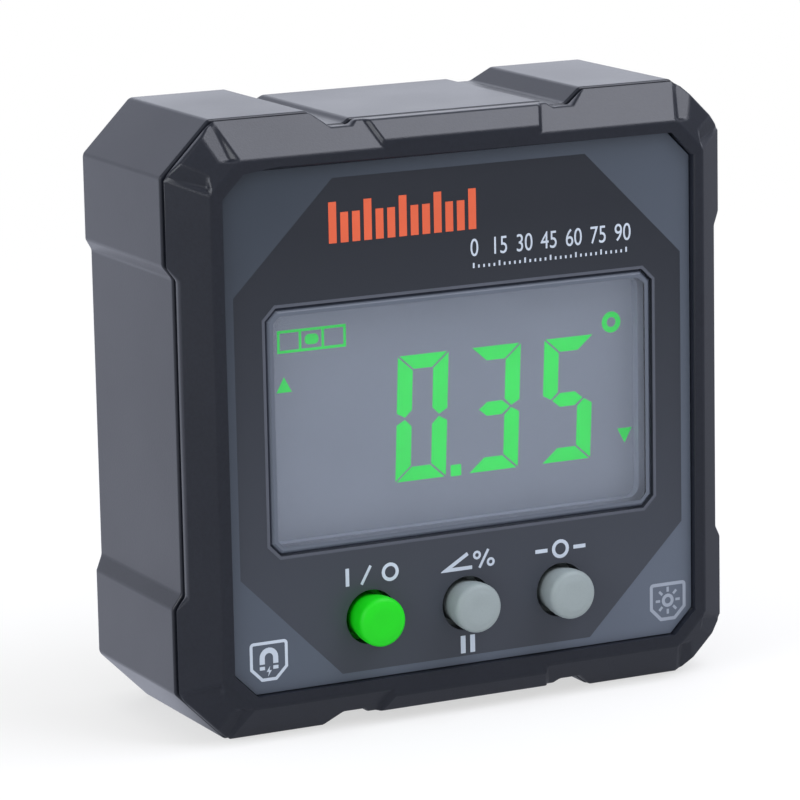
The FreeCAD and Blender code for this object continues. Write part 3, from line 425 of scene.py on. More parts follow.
@dataclass(frozen=True)
class Metal(Finish):
    """Plated or drawn metal with fine scratches round it."""

    stretch: Colour = WHITE
    stray: float = 0.3

    def paint(self, graph: Graph) -> None:
        """Fill the graph with this finish."""
        lines = graph.noise(self.grain, 3, self.stretch)
        self.shade(graph, {
            "Base Color": self.tint(graph), "Roughness": self.matt(graph, lines),
            "Metallic": 1.0, "Normal": graph.relief(lines, self.depth)})


HOUSING = Moulded("housing", tone(26, 29, 38), 0.34, ior=1.56, grain=0.2 * MM,
                  depth=0.012 * MM, worn=tone(37, 41, 51))
# face film greys with painted light and shade: the ground runs from its colour to a lighter tone
# at the lower right, and the octagon from a shaded top to a lighter tone below
FACE_FILM = PrintedFilm("face_film", tone(53, 60, 70), 0.34, ior=1.45, drift=0.03,
                        grain=0.09 * MM, depth=0.002 * MM, light=tone(92, 100, 114),
                        centre=tone(41, 44, 51), centre_low_painted_light=tone(62, 66, 75))
LENS = Finish("lens", tone(205, 212, 224), 0.08, ior=1.49, alpha=0.05, drift=0.02)
# the grey display glows as a backlit screen and also as painted light that evens out the shade
# in its well
DISPLAY = Glow("display_grey", tone(91, 97, 109), 0.3, ior=1.3, drift=0.02, light=0.65)
LIT_GREEN = Glow("lit_green", tone(14, 198, 66), 0.5, ior=1.3)
ORANGE_INK = Ink("orange_ink", tone(216, 92, 56))
DIM_INK = Ink("dim_ink", tone(146, 154, 168))
PALE_INK = Ink("pale_ink", tone(186, 196, 210))
BORDER_INK = Ink("border_ink", tone(80, 84, 95))
RIM_INK = Ink("rim_ink", tone(62, 67, 80), 0.3)
BAND_INK = Ink("band_ink", tone(92, 99, 112), drift=0.03)
LINER = Moulded("window_liner", tone(130, 137, 152), 0.4, drift=0.03, depth=0.002 * MM,
                worn=tone(136, 143, 157))
GREEN_KEY = Moulded("green_key", tone(6, 206, 8), 0.5, ior=1.42, drift=0.04, depth=0.002 * MM,
                    worn=tone(14, 212, 16))
GREY_KEY = Moulded("grey_key", tone(141, 151, 153), 0.5, ior=1.42, drift=0.03,
                   depth=0.002 * MM, worn=tone(150, 160, 162))
CLEAR_GLASS = Finish("clear_glass", tone(200, 210, 218), 0.1, alpha=0.35, drift=0.02)
GUIDE = Finish("light_guide", tone(225, 230, 232), 0.35, alpha=0.8, drift=0.02)
WHITE_FILM = Finish("white_film", tone(232, 233, 232), 0.3, drift=0.02)
LAMP = Finish("lamp", tone(236, 228, 190), 0.3)
RUBBER = Finish("layered_rubber", tone(178, 140, 148), 0.7, drift=0.12, depth=0.01 * MM)
HOLDER = Moulded("holder", tone(222, 222, 216), 0.5, drift=0.03, depth=0.003 * MM,
                 worn=tone(228, 228, 224))
BOARD = Finish("board", tone(22, 92, 52), 0.3, drift=0.16, grain=0.25 * MM, depth=0.006 * MM)
CHIP = Moulded("chip", tone(30, 30, 31), 0.6, drift=0.06, grain=0.06 * MM, depth=0.004 * MM,
               worn=tone(46, 46, 48))
CAN = Metal("can", tone(200, 200, 198), 0.3, drift=0.04, grain=0.08 * MM, depth=0.001 * MM)
CERAMIC = Finish("ceramic", tone(156, 116, 82), 0.5, drift=0.1, grain=0.05 * MM,
                 depth=0.002 * MM)
SWITCH = Moulded("switch_body", tone(34, 34, 36), 0.5, grain=0.08 * MM, depth=0.004 * MM,
                 worn=tone(52, 52, 54))
PLUNGER = Finish("plunger", tone(140, 60, 40), 0.5)
CELL = Metal("cell_sleeve", tone(178, 182, 188), 0.32, drift=0.06, depth=0.001 * MM,
             stretch=(8, 1, 1))
CONTACT = Metal("contact_strip", tone(204, 204, 198), 0.3, drift=0.04, depth=0.001 * MM)
MAGNET = Metal("magnet", tone(206, 206, 208), 0.16, drift=0.04, grain=0.3 * MM,
               depth=0.001 * MM)
SCREW = Metal("screw", tone(128, 130, 134), 0.34, drift=0.06, grain=0.12 * MM,
              depth=0.002 * MM)


# ---- piece tools
def linked(name: str, data: ID) -> Object:
    """Add an object to the scene.

    Args:
        name: its name.
        data: its mesh, curve, lamp or camera.

    Returns:
        The object.
    """
    made = bpy.data.objects.new(name, data)
    bpy.context.scene.collection.objects.link(made)
    return made


def add_piece(name: str, mesh: Mesh, finish: Finish,
              body: Body = Body.CASE, node: str = "") -> Object:
    """Add a finished piece to the scene and to the frame.

    Args:
        name: name of the piece.
        mesh: its mesh, in place.
        finish: what it is made of.
        body: what it rides on.
        node: the node that it replaces, if any.

    Returns:
        The piece, at the origin.
    """
    mesh.name = name
    mesh.materials.clear()
    mesh.materials.append(finish.material())
    piece = linked(name, mesh)
    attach(piece, body.value)
    if node:
        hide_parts(node)
    return piece


def from_bmesh(shape: BMesh, sharp: float = 38.0) -> Mesh:
    """Turn a shape into a mesh, smooth but for its sharp edges.

    Args:
        shape: the shape, which is freed.
        sharp: least angle of a sharp edge, in degrees.

    Returns:
        The mesh.
    """
    limit = radians(sharp)
    for face in shape.faces:
        face.smooth = True
    for edge in shape.edges:
        edge.smooth = len(edge.link_faces) == 2 and edge.calc_face_angle(0.0) < limit
    mesh = bpy.data.meshes.new("piece")
    shape.to_mesh(mesh)
    shape.free()
    return mesh


def settled(holder: Object) -> Mesh:
    """Plain mesh of an object as its modifiers leave it.

    Args:
        holder: the object, which is removed.

    Returns:
        The mesh.
    """
    graph = bpy.context.evaluated_depsgraph_get()
    mesh = bpy.data.meshes.new_from_object(holder.evaluated_get(graph), depsgraph=graph)
    bpy.data.objects.remove(holder)
    return mesh


def modified(mesh: Mesh, kind: str, settings: Mapping[str, object],
             inputs: Mapping[str, object] | None = None) -> Mesh:
    """Plain mesh of a mesh under one modifier.

    Args:
        mesh: what the modifier works on.
        kind: the modifier's type.
        settings: its properties.
        inputs: values that its node group takes, by name.

    Returns:
        The resulting mesh.
    """
    holder = linked("holder", mesh)
    modifier = holder.modifiers.new("step", kind)
    for name, value in settings.items():
        setattr(modifier, name, value)
    if inputs:
        for item in modifier.node_group.interface.items_tree:
            if item.in_out == "INPUT" and item.name in inputs:
                modifier[item.identifier] = inputs[item.name]
    return settled(holder)


def stitch(shape: BMesh, near: Sequence[BMVert],
           far: Sequence[BMVert]) -> None:
    """Join two rings of corners by a wall, where a pole is a ring of one corner repeated.

    Args:
        shape: what they belong to.
        near: corners of the one ring.
        far: as many corners of the other.
    """
    for index, corner in enumerate(near):
        other = (index + 1) % len(near)
        corners = (corner, near[other], far[other], far[index])
        shape.faces.new(tuple(dict.fromkeys(corners)))


def loft(skins: Sequence[Sequence[Loop]], closed: bool = False) -> Mesh:
    """Skins through loops that have the same number of corners.

    Args:
        skins: for each skin, the outline and y of its loops, in order.
        closed: whether the last loop joins the first, instead of both being filled.

    Returns:
        One mesh with all the skins.
    """
    shape = bmesh.new()
    for loops in skins:
        rings = [[shape.verts.new((x, y, z)) for x, z in outline] for outline, y in loops]
        if not closed:
            shape.faces.new(rings[0])
            shape.faces.new(rings[-1][::-1])
        for near, far in zip(rings, rings[1:] + (rings[:1] if closed else [])):
            stitch(shape, near, far)
    bmesh.ops.recalc_face_normals(shape, faces=shape.faces)
    return from_bmesh(shape, 20)


def plates(outlines: Sequence[Outline], front: float, back: float) -> Mesh:
    """Flat plates between two depths, as one mesh."""
    return loft([((outline, front), (outline, back)) for outline in outlines])


def lathe(profile: Sequence[Point], centre: Point, steps: int = 72) -> Mesh:
    """Closed solid turned about a line that runs front to back.

    Args:
        profile: radius and y of each ring, from the front pole to the back one.
        centre: x and z of the line.
        steps: sides of the solid.

    Returns:
        The mesh, closed at both poles.
    """
    shape = bmesh.new()
    rings = []
    for radius, y in profile:
        circle = arc(centre, radius, 0, 360, steps)[:-1] if radius else [centre]
        corners = [shape.verts.new((x, y, z)) for x, z in circle]
        rings.append(corners * (steps // len(corners)))
    for near, far in zip(rings, rings[1:]):
        stitch(shape, near, far)
    bmesh.ops.recalc_face_normals(shape, faces=shape.faces)
    return from_bmesh(shape, 50)


# ---- outlines
def arc(centre: Point, radius: float, start: float, stop: float, steps: int) -> list[Point]:
    """Points of an arc.

    Args:
        centre: middle of its circle.
        radius: its radius.
        start: angle of its first point, in degrees.
        stop: angle of its last point, in degrees.
        steps: how many pieces it has.

    Returns:
        Its points in order, one more than its pieces.
    """
    turns = [radians(start + (stop - start) * step / steps) for step in range(steps + 1)]
    return [(centre[0] + radius * cos(turn), centre[1] + radius * sin(turn))
            for turn in turns]


def octagon(middle: float, half_x: float, half_z: float, cut: float) -> list[Point]:
    """Rectangle about the middle line with cut corners.

    Args:
        middle: z of its middle.
        half_x: half of its width.
        half_z: half of its height.
        cut: leg of each cut corner.

    Returns:
        Its corners, counter-clockwise.
    """
    half = ((half_x, cut - half_z), (half_x, half_z - cut), (half_x - cut, half_z),
            (cut - half_x, half_z))
    return [(x, middle + z) for x, z in half] + [(-x, middle - z) for x, z in half]


def rounded(centre: Point, half_x: float, half_z: float, radius: float) -> list[Point]:
    """Rectangle with round corners.

    Args:
        centre: its middle.
        half_x: half of its width.
        half_z: half of its height.
        radius: radius of its corners.

    Returns:
        Its points, counter-clockwise.
    """
    points: list[Point] = []
    for side_x, side_z, start in ((1, 1, 0), (-1, 1, 90), (-1, -1, 180), (1, -1, 270)):
        corner = (centre[0] + side_x * (half_x - radius), centre[1] + side_z * (half_z - radius))
        points += arc(corner, radius, start, start + 90, 5)
    return points


def inset(outline: Outline, gap: float) -> list[Point]:
    """Move each side of a convex outline inwards.

    Args:
        outline: corners in counter-clockwise order.
        gap: how far each side moves.

    Returns:
        The smaller outline.
    """
    lines = []
    for (x0, z0), (x1, z1) in zip(outline, (*outline[1:], outline[0])):
        length = hypot(x1 - x0, z1 - z0)
        out_x, out_z = (z1 - z0) / length, (x0 - x1) / length
        lines.append((out_x, out_z, out_x * x0 + out_z * z0 - gap))
    corners = []
    for index, (a1, b1, c1) in enumerate(lines):
        a0, b0, c0 = lines[index - 1]
        scale = a0 * b1 - a1 * b0
        corners.append(((c0 * b1 - c1 * b0) / scale, (a0 * c1 - a1 * c0) / scale))
    return corners


@dataclass(frozen=True)
class Patch:
    """Flat mark given by its corners, in millimetres."""

    corners: Outline

    def outlines(self) -> list[Outline]:
        """Its one outline."""
        return [self.corners]


@dataclass(frozen=True)
class Stroke:
    """Straight mark between two points, in millimetres."""

    start: Point
    stop: Point
    width: float

    def outlines(self) -> list[Outline]:
        """Its one outline.

        Returns:
            A list of that outline.
        """
        (x0, z0), (x1, z1) = self.start, self.stop
        share = self.width / 2 / hypot(x1 - x0, z1 - z0)
        side_x, side_z = (z0 - z1) * share, (x1 - x0) * share
        return [[(x0 - side_x, z0 - side_z), (x1 - side_x, z1 - side_z),
                 (x1 + side_x, z1 + side_z), (x0 + side_x, z0 + side_z)]]


@dataclass(frozen=True)
class Hoop:
    """Ring or part of one, made of short bars, in millimetres and degrees."""

    centre: Point
    outer: float
    inner: float
    stop: float = 360.0
    bars: int = 20
    fine: int = 1

    def outlines(self) -> list[Outline]:
        """Outline of each bar."""
        turns = [self.stop * index / self.bars for index in range(self.bars + 1)]
        return [arc(self.centre, self.outer, low, high, self.fine)
                + arc(self.centre, self.inner, high, low, self.fine)
                for low, high in zip(turns, turns[1:])]


@dataclass(frozen=True)
class Shield:
    """Frame with round upper corners and cut lower ones, in millimetres."""

    centre: Point
    half_x: float
    half_z: float
    line: float
    curve: float = 0.4
    cut: float = 1.2

    def outlines(self) -> list[Outline]:
        """Outlines of its pieces.

        Returns:
            One for each side and for each step round the corners.
        """
        (x, z), wide, high = self.centre, self.half_x, self.half_z
        corners: list[Point] = []
        for side, start in ((1, 0), (-1, 90)):
            turn = (x + side * (wide - self.curve), z + high - self.curve)
            corners += arc(turn, self.curve, start, start + 90, 4)
        corners += [(x - wide, z - high + self.cut), (x - wide + self.cut, z - high),
                    (x + wide - self.cut, z - high), (x + wide, z - high + self.cut)]
        inner = inset(corners, self.line)
        following = zip(corners[1:] + corners[:1], inner[1:] + inner[:1])
        return [[near, after, inside, within] for near, within, (after, inside)
                in zip(corners, inner, following)]


Mark = Patch | Stroke | Hoop | Shield


def drawn(marks: Sequence[Mark], centre: Point = (0.0, 0.0)) -> list[Outline]:
    """Outlines in metres of marks drawn in millimetres about a point of the face."""
    return [[((centre[0] + x) * MM, (centre[1] + z) * MM) for x, z in outline]
            for mark in marks for outline in mark.outlines()]


# ---- housing
@dataclass
class Housing:
    """Bezel, back shell and battery door, with moulded edges.

    Angles are in degrees. The skin is what lies further than so much from the middle line.
    """

    edge: float = 0.26 * MM
    steps: int = 3
    skin: float = 24.6 * MM
    middle: float = 30 * MM
    merge: float = 0.0005 * MM
    flat: float = 0.6
    least_turn: float = 14.0
    lift: float = 0.02 * MM
    sight: float = 0.2

    def build(self) -> list[Object]:
        """Build the three mouldings.

        Returns:
            The new pieces.
        """
        rows = (("bezel_moulding", "front_shell", Body.CASE),
                ("back_moulding", "rear_shell", Body.CASE),
                ("door_moulding", "battery_door", Body.DOOR))
        return [add_piece(name, self._soften(node), HOUSING, body, node)
                for name, node, body in rows]

    def _soften(self, node: str) -> Mesh:
        """Copy a node's mesh and round its outer edges.

        Args:
            node: name of the node.

        Returns:
            The rounded mesh.
        """
        shape = bmesh.new()
        shape.from_mesh(FRAME["nodes"][node].data)
        bmesh.ops.remove_doubles(shape, verts=shape.verts, dist=self.merge)
        bmesh.ops.dissolve_limit(shape, angle_limit=radians(self.flat),
                                 verts=shape.verts, edges=shape.edges)
        edges = self._outer_edges(shape, 0.0 if node == "battery_door" else self.skin)
        bmesh.ops.bevel(shape, geom=edges, offset=self.edge, offset_type="OFFSET",
                        segments=self.steps, profile=0.5, affect="EDGES", clamp_overlap=False)
        return modified(from_bmesh(shape), "WEIGHTED_NORMAL", {"keep_sharp": True})

    def _outer_edges(self, shape: BMesh, skin: float) -> list[BMEdge]:
        """Edges in plain view that the mould rounds.

        Args:
            shape: the merged shape.
            skin: least distance from the middle line.

        Returns:
            The edges.
        """
        tree = BVHTree.FromBMesh(shape)
        found = []
        for edge in shape.edges:
            if len(edge.link_faces) != 2 or edge.calc_length() < 2 * self.edge:
                continue
            middle = (edge.verts[0].co + edge.verts[1].co) / 2
            reach = max(abs(middle.x), abs(middle.z - self.middle))
            if reach < skin or edge.calc_face_angle(0.0) < radians(self.least_turn):
                continue
            way = (edge.link_faces[0].normal + edge.link_faces[1].normal).normalized()
            if tree.ray_cast(middle + way * self.lift, way, self.sight)[0] is None:
                found.append(edge)
        return found


# ---- keys
@dataclass
class Keypad:
    """Three round keys with dished tops and sides that narrow towards the panel."""

    radius: float = 2.45 * MM
    corner: float = 0.62 * MM
    crown: float = 0.1 * MM
    dish: float = 0.06 * MM
    dish_share: float = 0.75
    waist: float = 2.15 * MM
    collar: float = 3.5 * MM
    collar_depth: float = 0.8 * MM
    collar_edge: float = 0.1 * MM
    level: float = 10.85 * MM
    pitch: float = 10.4 * MM

    def build(self) -> list[Object]:
        """Build the keys.

        Returns:
            The new pieces.
        """
        rows = (("on_off", -1, Body.ON_OFF, GREEN_KEY, "green_key"),
                ("hold", 0, Body.HOLD, GREY_KEY, "grey_key"),
                ("zero", 1, Body.ZERO, GREY_KEY, "grey_key"))
        made = []
        for name, step, body, finish, slot in rows:
            node = name + "_button"
            low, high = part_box(node)
            mesh = lathe(self._profile(low.y, high.y), (step * self.pitch, self.level))
            made.append(add_piece(name + "_key", mesh, finish, body, node))
        return made

    def _profile(self, front: float, back: float) -> list[Point]:
        """Radius and y of a key's rings.

        Args:
            front: y of its top.
            back: y of the back of its collar.

        Returns:
            The rings, from the top's middle to the back's.
        """
        flat = self.radius - self.corner
        rings = [(flat * share, front + self.dish * (1 - share / self.dish_share) ** 2)
                 for share in (0.0, 0.3, 0.55, self.dish_share)]
        rings.append((flat * 0.92, front + 0.4 * self.crown))
        rings += [(flat + self.corner * sin(turn),
                   front + self.crown + self.corner * (1 - cos(turn)))
                  for turn in (radians(15 * step) for step in range(7))]
        side, panel = rings[-1][1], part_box("label_panel")[0].y
        rings += [(self.radius + (self.waist - self.radius) * share ** 3,
                   side + (panel - side) * share) for share in (0.2, 0.4, 0.6, 0.8, 1.0)]
        seat = back - self.collar_depth
        return rings + [(self.waist, seat), (self.collar - self.collar_edge, seat),
                        (self.collar, seat + self.collar_edge), (self.collar, back), (0.0, back)]


# ---- screws
@dataclass
class CaseScrews:
    """Four pan head screws with crossed slots, set out by Geometry Nodes."""

    head: float = 1.9 * MM
    rise: float = 1.5 * MM
    shaft: float = 1.0 * MM
    rim: float = 0.3 * MM
    slot_reach: float = 1.15 * MM
    slot_width: float = 0.42 * MM
    slot_depth: float = 0.8 * MM
    slot_taper: float = 0.55

    def build(self) -> list[Object]:
        """Build the screws as one piece.

        Returns:
            The new piece.
        """
        low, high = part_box("case_screws")
        values = {"Width": high.x - low.x - 2 * self.head,
                  "Height": high.z - low.z - 2 * self.head,
                  "Middle": (0.0, 0.0, (low.z + high.z) / 2), "Finish": SCREW.material()}
        mesh = modified(self._one(low.y, high.y), "NODES", {"node_group": self._tree()}, values)
        return [add_piece("cross_head_screws", mesh, SCREW, node="case_screws")]

    def _one(self, point: float, top: float) -> Mesh:
        """One screw about the line x = z = 0, with its slots cut.

        Args:
            point: y of its point.
            top: y of the top of its head.

        Returns:
            Its mesh.
        """
        seat = top - self.rise
        profile = [(0.0, point), (0.5 * self.shaft, point), (self.shaft, point + self.shaft),
                   (self.shaft, seat), (self.head, seat), (self.head, seat + 0.5 * self.rise)]
        profile += [(self.head - 2 * self.rim * (1 - cos(turn)),
                     seat + self.rise * (0.5 + 0.5 * sin(turn)))
                    for turn in (radians(18 * step) for step in range(1, 6))]
        profile.append((0.0, top))
        cutter = linked("cutter", self._slots(top))
        mesh = modified(lathe(profile, (0.0, 0.0), 48), "BOOLEAN", {
            "object": cutter, "operation": "DIFFERENCE", "solver": "EXACT"})
        bpy.data.objects.remove(cutter)
        return mesh

    def _slots(self, top: float) -> Mesh:
        """Tapering cross that cuts the slots.

        Args:
            top: y of the top of the head.

        Returns:
            Its mesh.
        """
        a, b = self.slot_reach, self.slot_width / 2
        arm = ((a, -b), (a, b), (b, b))
        plus = [*arm]
        for _ in range(3):
            arm = tuple((-z, x) for x, z in arm)
            plus += arm
        deep = [(self.slot_taper * x, self.slot_taper * z) for x, z in plus]
        return loft([((plus, top + 0.2 * MM), (deep, top - self.slot_depth))])

    @staticmethod
    def _tree() -> NodeTree:
        """Node tree that copies its mesh to the corners of an upright rectangle.

        Returns:
            The tree.
        """
        graph = Graph(bpy.data.node_groups.new("screw_places", "GeometryNodeTree"))
        given = graph.declare({"Geometry": "Geometry", "Width": "Float", "Height": "Float",
                               "Middle": "Vector", "Finish": "Material"})
        grid = graph.node("GeometryNodeMeshGrid", None, {
            "Size X": given["Width"], "Size Y": given["Height"],
            "Vertices X": 2, "Vertices Y": 2})
        upright = graph.node("GeometryNodeTransform", None, {
            "Geometry": grid.outputs[0], "Translation": given["Middle"],
            "Rotation": (radians(90), 0.0, 0.0)})
        copies = graph.node("GeometryNodeInstanceOnPoints", None, {
            "Points": upright.outputs[0], "Instance": given["Geometry"]})
        graph.deliver(copies, given["Finish"])
        return graph.tree


# ---- display
@dataclass
class Display:
    """Lit marks of the liquid crystal display on its front film, sized in millimetres."""

    bottom: float = 23.05
    height: float = 12.55
    width: float = 5.65
    upright: float = 1.8
    level: float = 1.55
    lean: float = 0.55
    gap: float = 0.09
    starts: tuple[float, ...] = (-6.43, 1.5, 9.61)
    pointer: Point = (0.8, 0.74)
    vial: Point = (3.63, 1.1)
    vial_line: float = 0.26
    thickness: float = 0.02

    def build(self) -> list[Object]:
        """Build all the lit marks as one piece.

        Returns:
            The new piece.
        """
        outlines = []
        for digit, start in zip("035", self.starts):
            outlines += drawn(self._digit(digit, start))
        for mark, centre in ((Patch(rounded((0.0, 0.0), 0.57, 0.56, 0.1)), (0.26, 23.61)),
                             (self._pointer(Way.UP), (-17.96, 34.05)),
                             (self._pointer(Way.DOWN), (19.11, 24.98))):
            outlines += drawn([mark], centre)
        outlines += drawn(self._vial(), (-14.95, 38.2))
        outlines += drawn([Hoop((0.0, 0.0), 1.05, 0.5, bars=16, fine=2)], (17.71, 36.52))
        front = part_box("front_polariser")[0].y
        mesh = plates(outlines, front - self.thickness * MM, front)
        return [add_piece("lit_marks", mesh, LIT_GREEN)]

    def _segments(self) -> dict[str, list[Point]]:
        """Seven segments of an upright digit.

        Returns:
            Their outlines, by letter.
        """
        w, h, u, t = self.width, self.height, self.upright, self.level
        mid, tip = h / 2, 0.55 * u
        marks = {
            "a": [(0, h), (u, h - t), (w - u, h - t), (w, h)],
            "b": [(w, h), (w - u, h - t), (w - u, mid + 0.5 * t), (w - tip, mid),
                  (w, mid + 0.35 * t)],
            "f": [(0, h), (0, mid + 0.35 * t), (tip, mid), (u, mid + 0.5 * t), (u, h - t)],
            "g": [(tip, mid), (2 * tip, mid - t / 2), (w - 2 * tip, mid - t / 2),
                  (w - tip, mid), (w - 2 * tip, mid + t / 2), (2 * tip, mid + t / 2)],
        }
        for name, source in (("d", "a"), ("c", "b"), ("e", "f")):
            marks[name] = [(x, h - z) for x, z in reversed(marks[source])]
        return marks

    def _digit(self, digit: str, start: float) -> list[Patch]:
        """Lit segments of one leaning digit.

        Args:
            digit: the numeral.
            start: x of its lower left corner.

        Returns:
            A patch for each of them.
        """
        lit = {"0": "abcdef", "3": "abcdg", "5": "acdfg"}[digit]
        marks = self._segments()
        return [Patch([(start + x + self.lean * z / self.height, self.bottom + z)
                       for x, z in inset(marks[name], self.gap)]) for name in lit]

    def _pointer(self, way: Way) -> Patch:
        """Small triangle about its own middle.

        Args:
            way: where it points.

        Returns:
            The triangle.
        """
        half, rise = self.pointer[0], self.pointer[1] * way.value
        corners = ((-half, -rise), (half, -rise), (0.0, rise))
        return Patch(corners if way is Way.UP else corners[::-1])

    def _vial(self) -> list[Mark]:
        """Small bubble vial: a frame with two cross lines and a bubble.

        Returns:
            Its marks, about its own middle.
        """
        (wide, high), line = self.vial, self.vial_line
        edge, side = high - line / 2, wide - line / 2
        marks: list[Mark] = [Stroke((-wide, z), (wide, z), line) for z in (-edge, edge)]
        marks += [Stroke((x, line - high), (x, high - line), line)
                  for x in (-side, -1.22, 1.18, side)]
        return marks + [Patch(rounded((0.0, 0.0), 0.72, 0.5, 0.45))]


# ---- window
@dataclass
class Window:
    """Dark rim and grey border inked on the lens, and the liner of the well behind it."""

    middle: float = 30 * MM
    half: Point = (20.87 * MM, 11.92 * MM)
    chamfer: float = 0.42 * MM
    dark: float = 0.2 * MM
    pale: float = 0.34 * MM
    cut: float = 1.1 * MM
    round: float = 1.2 * MM
    wall: float = 0.74 * MM
    ledge: float = 0.05 * MM
    ink: float = 0.01 * MM

    def build(self) -> list[Object]:
        """Build the three frames.

        Returns:
            The new pieces.
        """
        front, back = (corner.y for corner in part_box("display_window"))
        rows = (("window_rim", self._rim(front), RIM_INK, "panel"),
                ("window_inner_border", self._border(front), BAND_INK, "panel"),
                ("window_liner", self._liner(back), LINER, "holder"))
        return [add_piece(name, loft([loops], closed=True), finish)
                for name, loops, finish, slot in rows]

    def _edge(self, inwards: float) -> list[Point]:
        """Cut-cornered outline of the lens, moved inwards."""
        return inset(octagon(self.middle, *self.half, self.cut), inwards)

    def _soft(self, inwards: float) -> list[Point]:
        """Round-cornered outline inside the lens."""
        return rounded((0.0, self.middle), self.half[0] - inwards, self.half[1] - inwards,
                       self.round)

    def _rim(self, front: float) -> list[Loop]:
        """Loops of the dark ink over the outer part of the chamfer.

        Args:
            front: y of the lens's front.

        Returns:
            The loops, in order round the section.
        """
        skin, low = 2 * self.ink, front + self.chamfer
        inner = self._edge(self.dark)
        return [(self._edge(0.0), low - skin), (inner, low - self.dark - skin),
                (inner, low - self.dark), (self._edge(skin), low)]

    def _border(self, front: float) -> list[Loop]:
        """Loops of the grey ink over the rest of the chamfer and a little of the flat.

        Args:
            front: y of the lens's front.

        Returns:
            The loops, in order round the section.
        """
        skin, step = 2 * self.ink, front + self.chamfer - self.dark
        outer, bend = self._edge(self.dark), self._edge(self.chamfer)
        inner = self._edge(self.chamfer + self.pale)
        return [(outer, step - skin), (bend, front - skin), (inner, front - skin),
                (inner, front), (bend, front), (outer, step)]

    def _liner(self, back: float) -> list[Loop]:
        """Loops of the skin over the ledge behind the lens and down the well's walls.

        Args:
            back: y of the lens's back.

        Returns:
            The loops, in order round the section.
        """
        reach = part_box("front_polariser")[0].y - self.ink
        flange, inner = self._soft(self.ledge), self._soft(self.wall)
        outer = self._soft(self.wall - self.ink)
        return [(flange, back - 2 * self.ink), (inner, back - 2 * self.ink), (inner, reach),
                (outer, reach), (outer, back - self.ink), (flange, back - self.ink)]


# ---- print
@dataclass
class ScaleTicks:
    """Row of ticks along a straight scale, made by Geometry Nodes."""

    name: str
    finish: Finish
    count: int
    every: int
    pitch: float
    width: float
    tall: float
    short: float
    start: Point
    ink: float = 0.02 * MM

    def build(self, front: float) -> Object:
        """Build the row.

        Args:
            front: y of the surface that it is printed on.

        Returns:
            The new piece.
        """
        values = {"Count": self.count, "Every": self.every, "Pitch": self.pitch,
                  "Width": self.width, "Tall": self.tall, "Short": self.short,
                  "Ink": self.ink, "Start": (self.start[0], front, self.start[1]),
                  "Finish": self.finish.material()}
        mesh = modified(bpy.data.meshes.new("holder"), "NODES",
                        {"node_group": self._tree()}, values)
        return add_piece(self.name, mesh, self.finish)

    @staticmethod
    def _tree() -> NodeTree:
        """Node tree that stands bars of two heights on a line of points.

        Returns:
            The tree.
        """
        graph = Graph(bpy.data.node_groups.new("scale_ticks", "GeometryNodeTree"))
        given = graph.declare({
            "Count": "Int", "Every": "Int", "Pitch": "Float", "Width": "Float", "Tall": "Float",
            "Short": "Float", "Ink": "Float", "Start": "Vector", "Finish": "Material"})
        step = graph.node("ShaderNodeCombineXYZ", None, {"X": given["Pitch"]})
        line = graph.node("GeometryNodeMeshLine", None, {
            "Count": given["Count"], "Offset": step.outputs[0],
            "Start Location": given["Start"]})
        minor = graph.signal("GeometryNodeInputIndex") % given["Every"] > 0.5
        height = graph.signal("ShaderNodeMix", None, {
            0: minor, 2: given["Tall"], 3: given["Short"]})
        size = graph.node("ShaderNodeCombineXYZ", None, {
            "X": given["Width"], "Y": given["Ink"], "Z": height})
        bar = graph.node("GeometryNodeMeshCube", None, {"Size": (1.0, 1.0, 1.0)})
        raised = graph.node("GeometryNodeTransform", None, {
            "Geometry": bar.outputs[0], "Translation": (0.0, -0.5, 0.5)})
        copies = graph.node("GeometryNodeInstanceOnPoints", None, {
            "Points": line.outputs[0], "Instance": raised.outputs[0],
            "Scale": size.outputs[0]})
        graph.deliver(copies, given["Finish"])
        return graph.tree


